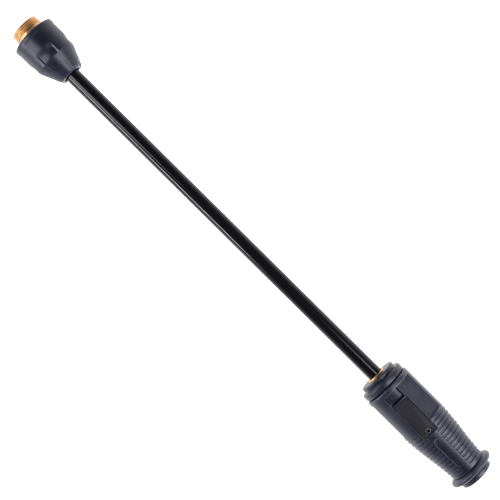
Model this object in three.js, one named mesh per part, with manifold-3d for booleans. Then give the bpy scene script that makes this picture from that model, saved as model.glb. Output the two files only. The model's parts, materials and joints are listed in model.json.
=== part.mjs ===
// Spray lance for a pressure washer: a brass screw coupling in a grip collar, a coated steel tube, and a
// nozzle head whose sleeve slides for low or high pressure and turns for a pencil or a fan jet.
// Millimetres, +Z up. The lance lies along X on the floor z = 0, coupling at -X, nozzle at +X, label up,
// and the origin is on the floor under the middle of its length.

import * as THREE from "three";
import { mergeVertices } from "three/addons/utils/BufferGeometryUtils.js";
import Module from "manifold-3d";

const wasm = await Module();
wasm.setup();

// ---------------------------------------------------------------------------------------------------
// Driving dimensions
// ---------------------------------------------------------------------------------------------------

const LANCE_LENGTH = 445.3; // nut face to nose face
const HEAD_LENGTH = 99.3; // back of the rear collar to nose face

const SEAT = 0.3; // axial gap where two faces meet
const FIT = 0.2; // radial gap between pieces fixed to each other
const RUN = 0.3; // radial gap between pieces that move on each other
const SIDES = 32; // facets round a visible piece
const CORE_SIDES = 20; // facets round a hidden piece

// Tube
const TUBE_RADIUS = 5.5;
const TUBE_WALL = 1.9;

// Coupling nut, with an M22 x 1.5 male thread
const THREAD_RADIUS = 10.9;
const THREAD_PITCH = 1.5;
const THREAD_DEPTH = 0.85;
const THREAD_TURNS = 4;
const NUT_RING_RADIUS = 11.1;
const NUT_RING_LENGTH = 2.6;
const NUT_HEX_FLAT = 11.4; // half the width across the flats
const NUT_LENGTH = 33;
const NUT_BACK_WALL = 6;
const SOCKET_CHAMFER = 0.6;

// Coupling collar
const COLLAR_START = 9.1;
const COLLAR_LENGTH = 38.4;
const COLLAR_RIM_RADIUS = 16.8;
const COLLAR_RIM_LENGTH = 3;
const COLLAR_RIM_CHAMFER = 0.7;
const COLLAR_RIM_SLOPE = 1; // length of the step from the rim to the barrel
const COLLAR_RADIUS = 16.5;
const COLLAR_BARREL_LENGTH = 19.9;
const COLLAR_TAIL_CHAMFER = 1.2;
const COLLAR_TAIL_CLEARANCE = 1.5; // round the tube
const COLLAR_TAIL_WALL = 3.1;
const COLLAR_THROAT_LENGTH = 4.8;
const COLLAR_PANELS = 4;
const COLLAR_PANEL_DEG = 48;
const COLLAR_PANEL_DEPTH = 1;
const COLLAR_PANEL_START = 14;

// Nipple, its seal and its thrust washer
const NIPPLE_WALL = 2.6;
const NIPPLE_START = 12;
const NIPPLE_CHAMFER = 0.6;
const NIPPLE_SEAL_SETBACK = 2.8; // middle of the O-ring from the nipple's face
const NIPPLE_FLANGE_WALL = 1.2;
const NIPPLE_FLANGE_LENGTH = 6;
const WASHER_LENGTH = 1;
const SEAL_WIRE = 1.6; // thickness of an O-ring
const SEAL_GROOVE_SPARE = 0.3; // how much longer than the O-ring its groove is

// Head stem, its nut and its clip
const STEM_RING_WALL = 1.6; // wall round the tube
const STEM_PROUD = 1; // how far its ring stands out behind the rear collar
const STEM_RADIUS = 6;
const STEM_BORE = 2.6;
const STEM_TUBE_DEPTH = 14.2;
const STEM_SOCKET_END = 0.9;
const STEM_SPIGOT_STEP = 1.6;
const STEM_BORE_TAPER = 1; // length over which the tube's bore narrows to the stem's
const STEM_SEAL_SETBACK = 1.3; // middle of the front O-ring from the bush's front
const STEM_SEAL_PITCH = 2.6;
const STEM_NUT_LIP = 0.4; // flats of the nut over the stem
const STEM_NUT_LENGTH = 6;
const CLIP_THICKNESS = 1;
const CLIP_WIDTH = 2.9;
const CLIP_GROOVE_DEPTH = 0.7;
const CLIP_MOUTH = 5;

// Rear collar with the guide barrel
const REAR_LIP_RADIUS = 14;
const REAR_LIP_LENGTH = 2.5;
const REAR_GROOVE_RADIUS = 12.8;
const REAR_GROOVE_LENGTH = 1.3;
const REAR_RING_STEP = 0.9; // below the sleeve
const REAR_EDGE = 0.8; // chamfer of the collar's edges
const REAR_RING_LENGTH = 5.3;
const REAR_WEB = 2.5;
const BARREL_LENGTH = 30;
const BARREL_WALL = 2.6;
const BARREL_NECK_DEPTH = 1;

// Sliding nozzle carrier
const SLIDE_TRAVEL = 8;
const BUSH_LENGTH = 13.2;
const BUSH_WALL = 2.8;
const BUSH_SPIGOT_LENGTH = 6.5;
const CARRIER_SKIRT_WALL = 0.9;
const CARRIER_FLANGE_LENGTH = 3;
const CARRIER_WEB = 2.5;
const CARRIER_WALL = 2; // round the nut's chamber
const SLEEVE_CLIP_THICKNESS = 1.4;
const SLEEVE_CLIP_GROOVE = 0.8;
const KEY_WIDTH = 2.6;
const KEY_HEIGHT = 2.2;
const JET_RADIUS = 3.9;
const JET_LENGTH = 8;
const JET_ORIFICE = 0.8;
const JET_INLET = 2.1;
const JET_THROAT = 0.55; // where the taper ends, as a share of the length
const JET_EXIT_FLARE = 0.5;
const FORK_LENGTH = 9.5;
const FORK_GAP = 9.8;
const FORK_HEIGHT = 12;

// Fan jaws and the oval cam that closes them
const JAW_RADIUS = 5.2;
const JAW_WIDTH = 9.2;
const JAW_HALF_GAP = 0.4;
const JAW_PIVOT = 4.3; // from the back of the jaw
const JAW_SWING_DEG = 3;
const JAW_OVERHANG = 2.2;
const JAW_CHANNEL = 1.2;
const JAW_FUNNEL = 3; // length over which the channel narrows
const JAW_TIP_CHAMFER = 1;
const PIN_RADIUS = 1;
const PIN_HEIGHT = 3;
const PIN_SETBACK = 1.1; // of each end from the carrier's side
const CAM_LENGTH = 8;

// Grip sleeve
const SLEEVE_RADIUS = 17.9;
const PARTING_GAP = 0.4;
const SLEEVE_EDGE = 1;
const TAPER_START = 48;
const NECK_STEP = 1.9; // over the nose of the sleeve
const TAPER_EASE = 0.3; // 0 is a straight taper
const TAPER_STEPS = 6;
const RIB_START = 47.8;
const RIB_PITCH = 3.165;
const RIB_WIDTH = 1.3;
const RIB_DEPTH = 0.6;
const RIB_CLEAR_DEG = 14.5; // half the smooth strip under the pad
const PAD_START = 56.9;
const PAD_LENGTH = 27.3;
const PAD_WIDTH = 7.6;
const PAD_HEIGHT = 0.5;
const WINDOW_START = 13.3;
const WINDOW_LENGTH = 31.3;
const WINDOWS = 3;
const WINDOW_MIDDLE_DEG = 46.15; // of the first one, from the label towards +Y
const WINDOW_PITCH_DEG = 110.6;
const WINDOW_WIDTH_DEG = 49.3;
const WINDOW_DEPTH = 2.3;

// Label plate and its screw
const LABEL_START = 22.4;
const LABEL_LENGTH = 30.1;
const LABEL_WIDTH = 12.2;
const LABEL_SINK = 1; // of its face below the crown of the sleeve
const LABEL_THICKNESS = 1.3;
const SCREW_SETBACK = 2.8; // from the front edge of the plate
const SCREW_HEAD_RADIUS = 2;
const SCREW_HEAD_LENGTH = 1.2;
const SCREW_RADIUS = 0.9;
const SCREW_LENGTH = 4.4;

// Snap tongue
const TONGUE_START = 13.1;
const TONGUE_LENGTH = 6.2;
const TONGUE_WIDTH = 9.8;
const TONGUE_THICKNESS = 2;
const SLOT_ARM = 1.3;
const SLOT_BAR = 2.3;
const CATCH_LENGTH = 2.3;
const CATCH_WIDTH = 4;
const CATCH_SETBACK = 0.5;

// Hand flange and nose ring
const FLANGE_RADIUS = 17.4;
const FLANGE_LENGTH = 5.8;
const FLANGE_ROUND = 2.9;
const SLEEVE_NOSE_WALL = 1.6;
const NOSE_LIP = 1; // over the nose of the sleeve
const NOSE_LENGTH = 3.3;
const NOSE_ROUND = 1.2;
const NOSE_SPIGOT_LENGTH = 7.4;
const MOUTH_CLEARANCE = 0.55; // round the tips of the open jaws
const MOUTH_LEAD = 0.6; // how much the spigot's bore opens towards the cam
const MOUTH_FLARE = 1.6;

// ---------------------------------------------------------------------------------------------------
// Radii and places that follow from them
// ---------------------------------------------------------------------------------------------------

const HEAD_START = LANCE_LENGTH - HEAD_LENGTH;
const TUBE_BORE = TUBE_RADIUS - TUBE_WALL;
const NIPPLE_RADIUS = TUBE_BORE + NIPPLE_WALL;
const NIPPLE_FLANGE_RADIUS = TUBE_RADIUS + FIT + NIPPLE_FLANGE_WALL;
const SOCKET_RADIUS = NIPPLE_FLANGE_RADIUS + RUN;
const COLLAR_TAIL_HOLE = TUBE_RADIUS + COLLAR_TAIL_CLEARANCE;
const COLLAR_TAIL_RADIUS = COLLAR_TAIL_HOLE + COLLAR_TAIL_WALL;

// Coupling, from the nut face
const HEX_START = COLLAR_START + SEAT;
const NUT_SHOULDER = NUT_LENGTH - NUT_BACK_WALL;
const WASHER_END = NUT_SHOULDER - SEAT;
const WASHER_START = WASHER_END - WASHER_LENGTH;
const NIPPLE_END = WASHER_START - SEAT;
const NIPPLE_FLANGE_START = NIPPLE_END - NIPPLE_FLANGE_LENGTH;
const TUBE_START = NIPPLE_FLANGE_START + 2 * SEAT;

// Head, from the back of the rear collar
const REAR_COLLAR_END = REAR_LIP_LENGTH + REAR_GROOVE_LENGTH + REAR_RING_LENGTH;
const TUBE_END = SEAT + STEM_TUBE_DEPTH;
const STEM_SHOULDER = TUBE_END + SEAT + STEM_SOCKET_END;
const WEB_START = STEM_SHOULDER + SEAT;
const WEB_END = WEB_START + REAR_WEB;
const STEM_CLIP_START = WEB_END + SEAT;
const STEM_CLIP_END = STEM_CLIP_START + CLIP_THICKNESS;
const BUSH_START = STEM_CLIP_END + 2 * SEAT;
const BUSH_END = BUSH_START + BUSH_LENGTH;
const STEM_NUT_START = BUSH_END + SLIDE_TRAVEL + SEAT;
const STEM_NUT_END = STEM_NUT_START + STEM_NUT_LENGTH;
const CHAMBER_END = STEM_NUT_END + SEAT;
const BARREL_END = REAR_COLLAR_END + BARREL_LENGTH;
const SLEEVE_CLIP_START = BARREL_END + 3 * SEAT;
const SLEEVE_CLIP_END = SLEEVE_CLIP_START + SLEEVE_CLIP_THICKNESS;
const CARRIER_FLANGE_START = SLEEVE_CLIP_END + SEAT;
const CARRIER_FLANGE_END = CARRIER_FLANGE_START + CARRIER_FLANGE_LENGTH;
const SLEEVE_STEP = CARRIER_FLANGE_END + SEAT;
const JET_SEAT = CHAMBER_END + CARRIER_WEB;
const JET_START = JET_SEAT + SEAL_WIRE + 2 * SEAT;
const CARRIER_FACE = JET_START + JET_LENGTH + SEAT;
const JAW_START = CARRIER_FACE + 3 * SEAT;
const PIVOT_X = JAW_START + JAW_PIVOT;
const SLEEVE_START = REAR_COLLAR_END + PARTING_GAP;
const NOSE_START = HEAD_LENGTH - NOSE_LENGTH;
const SLEEVE_END = NOSE_START - SEAT;
const FLANGE_END = SLEEVE_END - SEAT;
const FLANGE_START = FLANGE_END - FLANGE_LENGTH;
const NECK_END = FLANGE_START - SEAT;
const CAM_END = SLEEVE_END - NOSE_SPIGOT_LENGTH - SEAT;
const CAM_START = CAM_END - CAM_LENGTH;
const JAW_END = CAM_END + JAW_OVERHANG;

// Radii, from the tube and the stem outwards
const STEM_RING_RADIUS = TUBE_RADIUS + FIT + STEM_RING_WALL;
const STEM_SPIGOT_RADIUS = STEM_RADIUS - STEM_SPIGOT_STEP;
const STEM_NUT_FLAT = STEM_RADIUS + STEM_NUT_LIP;
const BUSH_RADIUS = STEM_RADIUS + FIT + BUSH_WALL;
const SKIRT_BORE = BUSH_RADIUS - CARRIER_SKIRT_WALL;
const CHAMBER_RADIUS = SKIRT_BORE - RUN;
const CARRIER_NOSE_RADIUS = CHAMBER_RADIUS + CARRIER_WALL;
const PIN_LENGTH = 2 * (CARRIER_NOSE_RADIUS - PIN_SETBACK);
const BARREL_BORE = BUSH_RADIUS + RUN;
const BARREL_RADIUS = BARREL_BORE + BARREL_WALL;
const BARREL_NECK_RADIUS = BARREL_RADIUS - BARREL_NECK_DEPTH;
const SLEEVE_BORE = BARREL_RADIUS + RUN;
const SLEEVE_NOSE_BORE = CARRIER_NOSE_RADIUS + RUN;
const SLEEVE_NOSE_RADIUS = SLEEVE_NOSE_BORE + SLEEVE_NOSE_WALL;
const NECK_RADIUS = SLEEVE_NOSE_RADIUS + NECK_STEP;
const NOSE_RADIUS = SLEEVE_NOSE_RADIUS + NOSE_LIP;
const REAR_RING_RADIUS = SLEEVE_RADIUS - REAR_RING_STEP;
const WINDOW_FLOOR = SLEEVE_RADIUS - WINDOW_DEPTH;
const LABEL_LEVEL = SLEEVE_RADIUS - LABEL_SINK; // height of its face over the axis
const SWING_SLOPE = Math.tan(THREE.MathUtils.degToRad(JAW_SWING_DEG));
const MOUTH_RADIUS = JAW_RADIUS + (JAW_END - PIVOT_X) * SWING_SLOPE + MOUTH_CLEARANCE;
const CATCH_START = TONGUE_START + TONGUE_LENGTH - CATCH_SETBACK - CATCH_LENGTH;

// ---------------------------------------------------------------------------------------------------
// Solids from three.js shapes
// ---------------------------------------------------------------------------------------------------

const radians = THREE.MathUtils.degToRad;

// The closed solid that a geometry bounds.
function solidOf(geometry) {
  geometry.deleteAttribute("normal");
  geometry.deleteAttribute("uv");
  const merged = mergeVertices(geometry);
  const corners = merged.index.array;
  const kept = [];
  for (let i = 0; i < corners.length; i += 3) {
    const [a, b, c] = corners.slice(i, i + 3);
    if (a !== b && b !== c && c !== a) kept.push(a, b, c);
  }
  return new wasm.Manifold(
    new wasm.Mesh({
      numProp: 3,
      vertProperties: merged.attributes.position.array,
      triVerts: new Uint32Array(kept),
    }),
  );
}

// A turned piece about X, from an outline of [x, radius] points. The radius is to the flats of its facets.
function turned(outline, sides = SIDES) {
  const toCorner = 1 / Math.cos(Math.PI / sides);
  const points = outline.map(([x, radius]) => new THREE.Vector2(radius * toCorner, x));
  if (THREE.ShapeUtils.area(points) < 0) points.reverse();
  points.push(points[0].clone());
  const geometry = new THREE.LatheGeometry(points, sides, Math.PI / sides);
  geometry.rotateZ(-Math.PI / 2);
  return solidOf(geometry);
}

// A plain ring, or a plain disc where the bore is 0.
function ring(start, end, bore, radius, sides = SIDES) {
  return turned([[start, bore], [start, radius], [end, radius], [end, bore]], sides);
}

// A hexagonal prism about X, with two flats level.
function hexagon(start, end, flat) {
  return ring(start, end, 0, flat, 6);
}

// A block between two corners.
function block([x0, y0, z0], [x1, y1, z1]) {
  const geometry = new THREE.BoxGeometry(x1 - x0, y1 - y0, z1 - z0);
  geometry.translate((x0 + x1) / 2, (y0 + y1) / 2, (z0 + z1) / 2);
  return solidOf(geometry);
}

// A rod across the lance, along Y.
function crossRod(x, z, radius, length, sides = 16) {
  const geometry = new THREE.CylinderGeometry(radius, radius, length, sides);
  geometry.translate(x, 0, z);
  return solidOf(geometry);
}

// An upright rod at y = 0, from one height to another.
function uprightRod(x, bottom, top, radius, sides = 20) {
  const geometry = new THREE.CylinderGeometry(radius, radius, top - bottom, sides);
  geometry.rotateX(Math.PI / 2);
  geometry.translate(x, 0, (bottom + top) / 2);
  return solidOf(geometry);
}

// A slice of cake about X. Angles are from straight up, positive towards +Y.
function sector(start, end, fromDeg, toDeg, reach) {
  const steps = Math.ceil((toDeg - fromDeg) / 30);
  const shape = new THREE.Shape();
  shape.moveTo(0, 0);
  for (let i = 0; i <= steps; i++) {
    const angle = radians(fromDeg + ((toDeg - fromDeg) * i) / steps);
    shape.lineTo(-reach * Math.cos(angle), reach * Math.sin(angle));
  }
  const geometry = new THREE.ExtrudeGeometry(shape, { depth: end - start, bevelEnabled: false });
  geometry.rotateY(Math.PI / 2);
  geometry.translate(start, 0, 0);
  return solidOf(geometry);
}

// An O-ring of the given bore, centred on x.
function sealRing(x, bore) {
  const half = SEAL_WIRE / 2;
  const outline = [];
  for (let i = 0; i < 6; i++) {
    const angle = (i * Math.PI) / 3;
    outline.push([x + half * Math.cos(angle), bore + half + half * Math.sin(angle)]);
  }
  return turned(outline, CORE_SIDES);
}

// The groove that an O-ring lies in, cut from a shaft of the given radius.
function sealGroove(x, radius) {
  const half = (SEAL_WIRE + SEAL_GROOVE_SPARE) / 2;
  return ring(x - half, x + half, sealFloor(radius), radius + 1, CORE_SIDES);
}

// Radius of the floor of an O-ring's groove.
function sealFloor(radius) {
  return radius - SEAL_WIRE + FIT / 2;
}

// ---------------------------------------------------------------------------------------------------
// Coupling and tube
// ---------------------------------------------------------------------------------------------------

function couplingNut() {
  const outline = [
    [NUT_LENGTH, TUBE_RADIUS + RUN],
    [NUT_SHOULDER, TUBE_RADIUS + RUN],
    [NUT_SHOULDER, SOCKET_RADIUS],
    [SOCKET_CHAMFER, SOCKET_RADIUS],
    [0, SOCKET_RADIUS + SOCKET_CHAMFER],
    [0, THREAD_RADIUS - THREAD_DEPTH],
  ];
  for (let turn = 0; turn < THREAD_TURNS; turn++) {
    const crest = (turn + 0.5) * THREAD_PITCH;
    outline.push([crest - THREAD_PITCH / 8, THREAD_RADIUS]);
    outline.push([crest + THREAD_PITCH / 8, THREAD_RADIUS]);
    outline.push([crest + THREAD_PITCH / 2, THREAD_RADIUS - THREAD_DEPTH]);
  }
  const ringStart = HEX_START - NUT_RING_LENGTH;
  outline.push([ringStart, THREAD_RADIUS - THREAD_DEPTH], [ringStart, NUT_RING_RADIUS]);
  outline.push([NUT_LENGTH, NUT_RING_RADIUS]);
  const bore = ring(HEX_START - 1, NUT_LENGTH + 1, 0, SOCKET_RADIUS + 1);
  return turned(outline).add(hexagon(HEX_START, NUT_LENGTH, NUT_HEX_FLAT).subtract(bore));
}

function couplingCollar() {
  const end = COLLAR_START + COLLAR_LENGTH;
  const rimEnd = COLLAR_START + COLLAR_RIM_LENGTH;
  const coneStart = rimEnd + COLLAR_BARREL_LENGTH;
  const outside = (inset) => [
    [rimEnd, COLLAR_RIM_RADIUS - inset],
    [rimEnd + COLLAR_RIM_SLOPE, COLLAR_RADIUS - inset],
    [coneStart, COLLAR_RADIUS - inset],
    [end - COLLAR_TAIL_CHAMFER, COLLAR_TAIL_RADIUS - inset],
    [end, COLLAR_TAIL_RADIUS - COLLAR_TAIL_CHAMFER - inset],
  ];
  const hollow = NUT_LENGTH + SEAT;
  const outline = [
    [COLLAR_START, 0],
    [COLLAR_START, COLLAR_RIM_RADIUS - COLLAR_RIM_CHAMFER],
    [COLLAR_START + COLLAR_RIM_CHAMFER, COLLAR_RIM_RADIUS],
    ...outside(0),
    [end, 0],
  ];
  const throat = turned([
    [hollow, 0],
    [hollow, NUT_RING_RADIUS],
    [end - COLLAR_THROAT_LENGTH, COLLAR_TAIL_HOLE],
    [end + 1, COLLAR_TAIL_HOLE],
    [end + 1, 0],
  ]);
  const pocket = hexagon(COLLAR_START - 1, hollow + SEAT, NUT_HEX_FLAT + FIT);
  let body = turned(outline).subtract(throat).subtract(pocket);
  const skinStart = COLLAR_START + COLLAR_PANEL_START;
  const reach = COLLAR_RIM_RADIUS + 5;
  const skin = turned([
    [rimEnd, reach],
    ...outside(COLLAR_PANEL_DEPTH),
    [end + 1, COLLAR_TAIL_RADIUS - COLLAR_TAIL_CHAMFER - COLLAR_PANEL_DEPTH],
    [end + 1, reach],
  ]);
  for (let panel = 0; panel < COLLAR_PANELS; panel++) {
    const centre = (panel * 360) / COLLAR_PANELS;
    const half = COLLAR_PANEL_DEG / 2;
    const wedge = sector(skinStart, end + 2, centre - half, centre + half, reach * 1.3);
    body = body.subtract(skin.intersect(wedge));
  }
  return body;
}

function tubeNipple() {
  const body = turned(
    [
      [NIPPLE_START, TUBE_BORE],
      [NIPPLE_START, NIPPLE_RADIUS - NIPPLE_CHAMFER],
      [NIPPLE_START + NIPPLE_CHAMFER, NIPPLE_RADIUS],
      [NIPPLE_FLANGE_START, NIPPLE_RADIUS],
      [NIPPLE_FLANGE_START, NIPPLE_FLANGE_RADIUS],
      [NIPPLE_END, NIPPLE_FLANGE_RADIUS],
      [NIPPLE_END, TUBE_RADIUS + FIT],
      [TUBE_START - SEAT, TUBE_RADIUS + FIT],
      [TUBE_START - SEAT, TUBE_BORE],
    ],
    CORE_SIDES,
  );
  return body.subtract(sealGroove(NIPPLE_START + NIPPLE_SEAL_SETBACK, NIPPLE_RADIUS));
}

function nippleSeal() {
  return sealRing(NIPPLE_START + NIPPLE_SEAL_SETBACK, sealFloor(NIPPLE_RADIUS) + FIT / 2);
}

function swivelWasher() {
  return ring(WASHER_START, WASHER_END, TUBE_RADIUS + FIT, NIPPLE_FLANGE_RADIUS, CORE_SIDES);
}

function lanceTube() {
  return ring(TUBE_START, HEAD_START + TUBE_END, TUBE_BORE, TUBE_RADIUS, SIDES);
}

// ---------------------------------------------------------------------------------------------------
// Head: fixed pieces
// ---------------------------------------------------------------------------------------------------

// The two stem seals stay inside the bush at both ends of the slide.
const STEM_SEALS = [BUSH_END - STEM_SEAL_SETBACK - STEM_SEAL_PITCH, BUSH_END - STEM_SEAL_SETBACK];

function headStem() {
  const body = turned(
    [
      [-STEM_PROUD, TUBE_RADIUS + FIT],
      [-STEM_PROUD, STEM_RING_RADIUS],
      [STEM_SHOULDER, STEM_RING_RADIUS],
      [STEM_SHOULDER, STEM_RADIUS],
      [STEM_NUT_START - SEAT, STEM_RADIUS],
      [STEM_NUT_START - SEAT, STEM_SPIGOT_RADIUS],
      [STEM_NUT_END, STEM_SPIGOT_RADIUS],
      [STEM_NUT_END, STEM_BORE],
      [WEB_END, STEM_BORE],
      [WEB_END - STEM_BORE_TAPER, TUBE_BORE],
      [TUBE_END + SEAT, TUBE_BORE],
      [TUBE_END + SEAT, TUBE_RADIUS + FIT],
    ],
    CORE_SIDES,
  );
  const clipGroove = ring(
    STEM_CLIP_START - FIT,
    STEM_CLIP_END + FIT,
    STEM_RADIUS - CLIP_GROOVE_DEPTH,
    STEM_RADIUS + 1,
    CORE_SIDES,
  );
  const sealGrooves = STEM_SEALS.map((x) => sealGroove(x, STEM_RADIUS));
  return sealGrooves.reduce((stem, groove) => stem.subtract(groove), body.subtract(clipGroove));
}

function stemSeal(index) {
  return sealRing(STEM_SEALS[index], sealFloor(STEM_RADIUS) + FIT / 2);
}

function stemClip() {
  const bore = STEM_RADIUS - CLIP_GROOVE_DEPTH + FIT;
  const whole = ring(STEM_CLIP_START, STEM_CLIP_END, bore, bore + CLIP_WIDTH, CORE_SIDES);
  const mouth = block(
    [STEM_CLIP_START - 1, -CLIP_MOUTH / 2, 0],
    [STEM_CLIP_END + 1, CLIP_MOUTH / 2, bore * 2],
  );
  return whole.subtract(mouth);
}

function stemNut() {
  const bore = ring(STEM_NUT_START - 1, STEM_NUT_END + 1, 0, STEM_SPIGOT_RADIUS + FIT, CORE_SIDES);
  return hexagon(STEM_NUT_START, STEM_NUT_END, STEM_NUT_FLAT).subtract(bore);
}

function rearCollar() {
  const grooveEnd = REAR_LIP_LENGTH + REAR_GROOVE_LENGTH;
  const neckStart = CATCH_START - 2 * SEAT;
  const neckEnd = CATCH_START + CATCH_LENGTH + SLIDE_TRAVEL + 2 * SEAT;
  const body = turned([
    [0, STEM_RING_RADIUS + FIT],
    [0, REAR_LIP_RADIUS - REAR_EDGE],
    [REAR_EDGE, REAR_LIP_RADIUS],
    [REAR_LIP_LENGTH - REAR_EDGE / 2, REAR_LIP_RADIUS],
    [REAR_LIP_LENGTH, REAR_GROOVE_RADIUS],
    [grooveEnd, REAR_GROOVE_RADIUS],
    [grooveEnd, REAR_RING_RADIUS - REAR_EDGE],
    [grooveEnd + REAR_EDGE, REAR_RING_RADIUS],
    [REAR_COLLAR_END - REAR_EDGE, REAR_RING_RADIUS],
    [REAR_COLLAR_END, REAR_RING_RADIUS - REAR_EDGE],
    [REAR_COLLAR_END, BARREL_RADIUS],
    [neckStart, BARREL_RADIUS],
    [neckStart, BARREL_NECK_RADIUS],
    [neckEnd, BARREL_NECK_RADIUS],
    [neckEnd, BARREL_RADIUS],
    [BARREL_END, BARREL_RADIUS],
    [BARREL_END, BARREL_BORE],
    [WEB_END, BARREL_BORE],
    [WEB_END, STEM_RADIUS + FIT],
    [WEB_START, STEM_RADIUS + FIT],
    [WEB_START, STEM_RING_RADIUS + FIT],
  ]);
  const halfSlot = KEY_WIDTH / 2 + FIT;
  const slot = block(
    [BUSH_END - BUSH_SPIGOT_LENGTH - SEAT, -halfSlot, -SLEEVE_BORE],
    [BARREL_END + 1, halfSlot, 0],
  );
  const stemSpace = ring(0, BARREL_END + 2, 0, STEM_RING_RADIUS + FIT);
  return body.subtract(slot.subtract(stemSpace));
}

// ---------------------------------------------------------------------------------------------------
// Head: pieces that slide
// ---------------------------------------------------------------------------------------------------

function carrierBush() {
  const spigotStart = BUSH_END - BUSH_SPIGOT_LENGTH;
  return turned(
    [
      [BUSH_START, STEM_RADIUS + FIT],
      [BUSH_START, BUSH_RADIUS],
      [spigotStart, BUSH_RADIUS],
      [spigotStart, SKIRT_BORE - FIT],
      [BUSH_END, SKIRT_BORE - FIT],
      [BUSH_END, STEM_RADIUS + FIT],
    ],
    CORE_SIDES,
  );
}

function nozzleCarrier() {
  const skirtStart = BUSH_END - BUSH_SPIGOT_LENGTH + SEAT;
  const body = turned([
    [skirtStart, SKIRT_BORE],
    [skirtStart, BUSH_RADIUS],
    [CARRIER_FLANGE_START, BUSH_RADIUS],
    [CARRIER_FLANGE_START, SLEEVE_BORE - RUN],
    [CARRIER_FLANGE_END, SLEEVE_BORE - RUN],
    [CARRIER_FLANGE_END, CARRIER_NOSE_RADIUS],
    [CARRIER_FACE + FORK_LENGTH, CARRIER_NOSE_RADIUS],
    [CARRIER_FACE + FORK_LENGTH, JET_RADIUS + FIT],
    [JET_SEAT, JET_RADIUS + FIT],
    [JET_SEAT, JET_INLET],
    [CHAMBER_END, JET_INLET],
    [CHAMBER_END, CHAMBER_RADIUS],
    [BUSH_END + SEAT, CHAMBER_RADIUS],
    [BUSH_END + SEAT, SKIRT_BORE],
  ]);
  const far = CARRIER_FACE + FORK_LENGTH + 1;
  const reach = CARRIER_NOSE_RADIUS + 1;
  const jawSpace = block([CARRIER_FACE, -FORK_GAP / 2, -reach], [far, FORK_GAP / 2, reach]);
  const above = block([CARRIER_FACE, -reach, FORK_HEIGHT / 2], [far, reach, reach]);
  const below = block([CARRIER_FACE, -reach, -reach], [far, reach, -FORK_HEIGHT / 2]);
  const key = block(
    [skirtStart, -KEY_WIDTH / 2, -BUSH_RADIUS - KEY_HEIGHT],
    [BARREL_END, KEY_WIDTH / 2, -(SKIRT_BORE + BUSH_RADIUS) / 2],
  );
  let carrier = body.subtract(jawSpace).subtract(above).subtract(below).add(key);
  for (const z of [PIN_HEIGHT, -PIN_HEIGHT]) {
    carrier = carrier.subtract(crossRod(PIVOT_X, z, PIN_RADIUS + FIT, 3 * reach));
  }
  return carrier;
}

function jetSeal() {
  return sealRing(JET_SEAT + SEAT + SEAL_WIRE / 2, JET_INLET + FIT / 2);
}

function jetInsert() {
  const end = JET_START + JET_LENGTH;
  return turned(
    [
      [JET_START, JET_INLET],
      [JET_START, JET_RADIUS],
      [end, JET_RADIUS],
      [end, JET_ORIFICE + JET_EXIT_FLARE],
      [end - 2 * JET_EXIT_FLARE, JET_ORIFICE],
      [JET_START + JET_LENGTH * JET_THROAT, JET_ORIFICE],
    ],
    CORE_SIDES,
  );
}

// A jaw in its closed place. The upper jaw has side 1, the lower -1.
function fanJaw(side) {
  const reach = JAW_RADIUS + 1;
  const half = JAW_WIDTH / 2;
  const envelope = turned(
    [
      [JAW_START, 0],
      [JAW_START, JAW_RADIUS],
      [JAW_END - JAW_TIP_CHAMFER, JAW_RADIUS],
      [JAW_END, JAW_RADIUS - JAW_TIP_CHAMFER],
      [JAW_END, 0],
    ],
    CORE_SIDES,
  );
  const heights = [side * JAW_HALF_GAP, side * reach].sort((a, b) => a - b);
  const keep = block([JAW_START - 1, -half, heights[0]], [JAW_END + 1, half, heights[1]]);
  const channel = turned(
    [
      [JAW_START - 1, 0],
      [JAW_START - 1, JAW_CHANNEL * 2],
      [JAW_START + JAW_FUNNEL, JAW_CHANNEL],
      [JAW_END + 1, JAW_CHANNEL],
      [JAW_END + 1, 0],
    ],
    16,
  );
  const hole = crossRod(PIVOT_X, side * PIN_HEIGHT, PIN_RADIUS + FIT, JAW_WIDTH + 2);
  return envelope.intersect(keep).subtract(channel).subtract(hole);
}

function jawPin(side) {
  return crossRod(PIVOT_X, side * PIN_HEIGHT, PIN_RADIUS, PIN_LENGTH);
}

// ---------------------------------------------------------------------------------------------------
// Head: pieces that slide and turn
// ---------------------------------------------------------------------------------------------------

// Radius of the sleeve along its taper: full at the start, the neck's at the end, eased at both.
function taperRadius(x) {
  const u = (x - TAPER_START) / (NECK_END - TAPER_START);
  const eased = u - (TAPER_EASE * Math.sin(2 * Math.PI * u)) / (2 * Math.PI);
  return SLEEVE_RADIUS - (SLEEVE_RADIUS - NECK_RADIUS) * eased;
}

function sleeveBody() {
  const outline = [
    [SLEEVE_START, SLEEVE_BORE],
    [SLEEVE_START, SLEEVE_RADIUS - SLEEVE_EDGE],
    [SLEEVE_START + SLEEVE_EDGE, SLEEVE_RADIUS],
  ];
  for (let step = 0; step <= TAPER_STEPS; step++) {
    const x = TAPER_START + ((NECK_END - TAPER_START) * step) / TAPER_STEPS;
    outline.push([x, taperRadius(x)]);
  }
  const grooveRadius = SLEEVE_BORE + SLEEVE_CLIP_GROOVE;
  outline.push(
    [NECK_END, SLEEVE_NOSE_RADIUS],
    [SLEEVE_END, SLEEVE_NOSE_RADIUS],
    [SLEEVE_END, SLEEVE_NOSE_BORE],
    [SLEEVE_STEP, SLEEVE_NOSE_BORE],
    [SLEEVE_STEP, SLEEVE_BORE],
    [SLEEVE_CLIP_END + FIT, SLEEVE_BORE],
    [SLEEVE_CLIP_END + FIT, grooveRadius],
    [SLEEVE_CLIP_START - FIT, grooveRadius],
    [SLEEVE_CLIP_START - FIT, SLEEVE_BORE],
  );
  return turned(outline);
}

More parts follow.
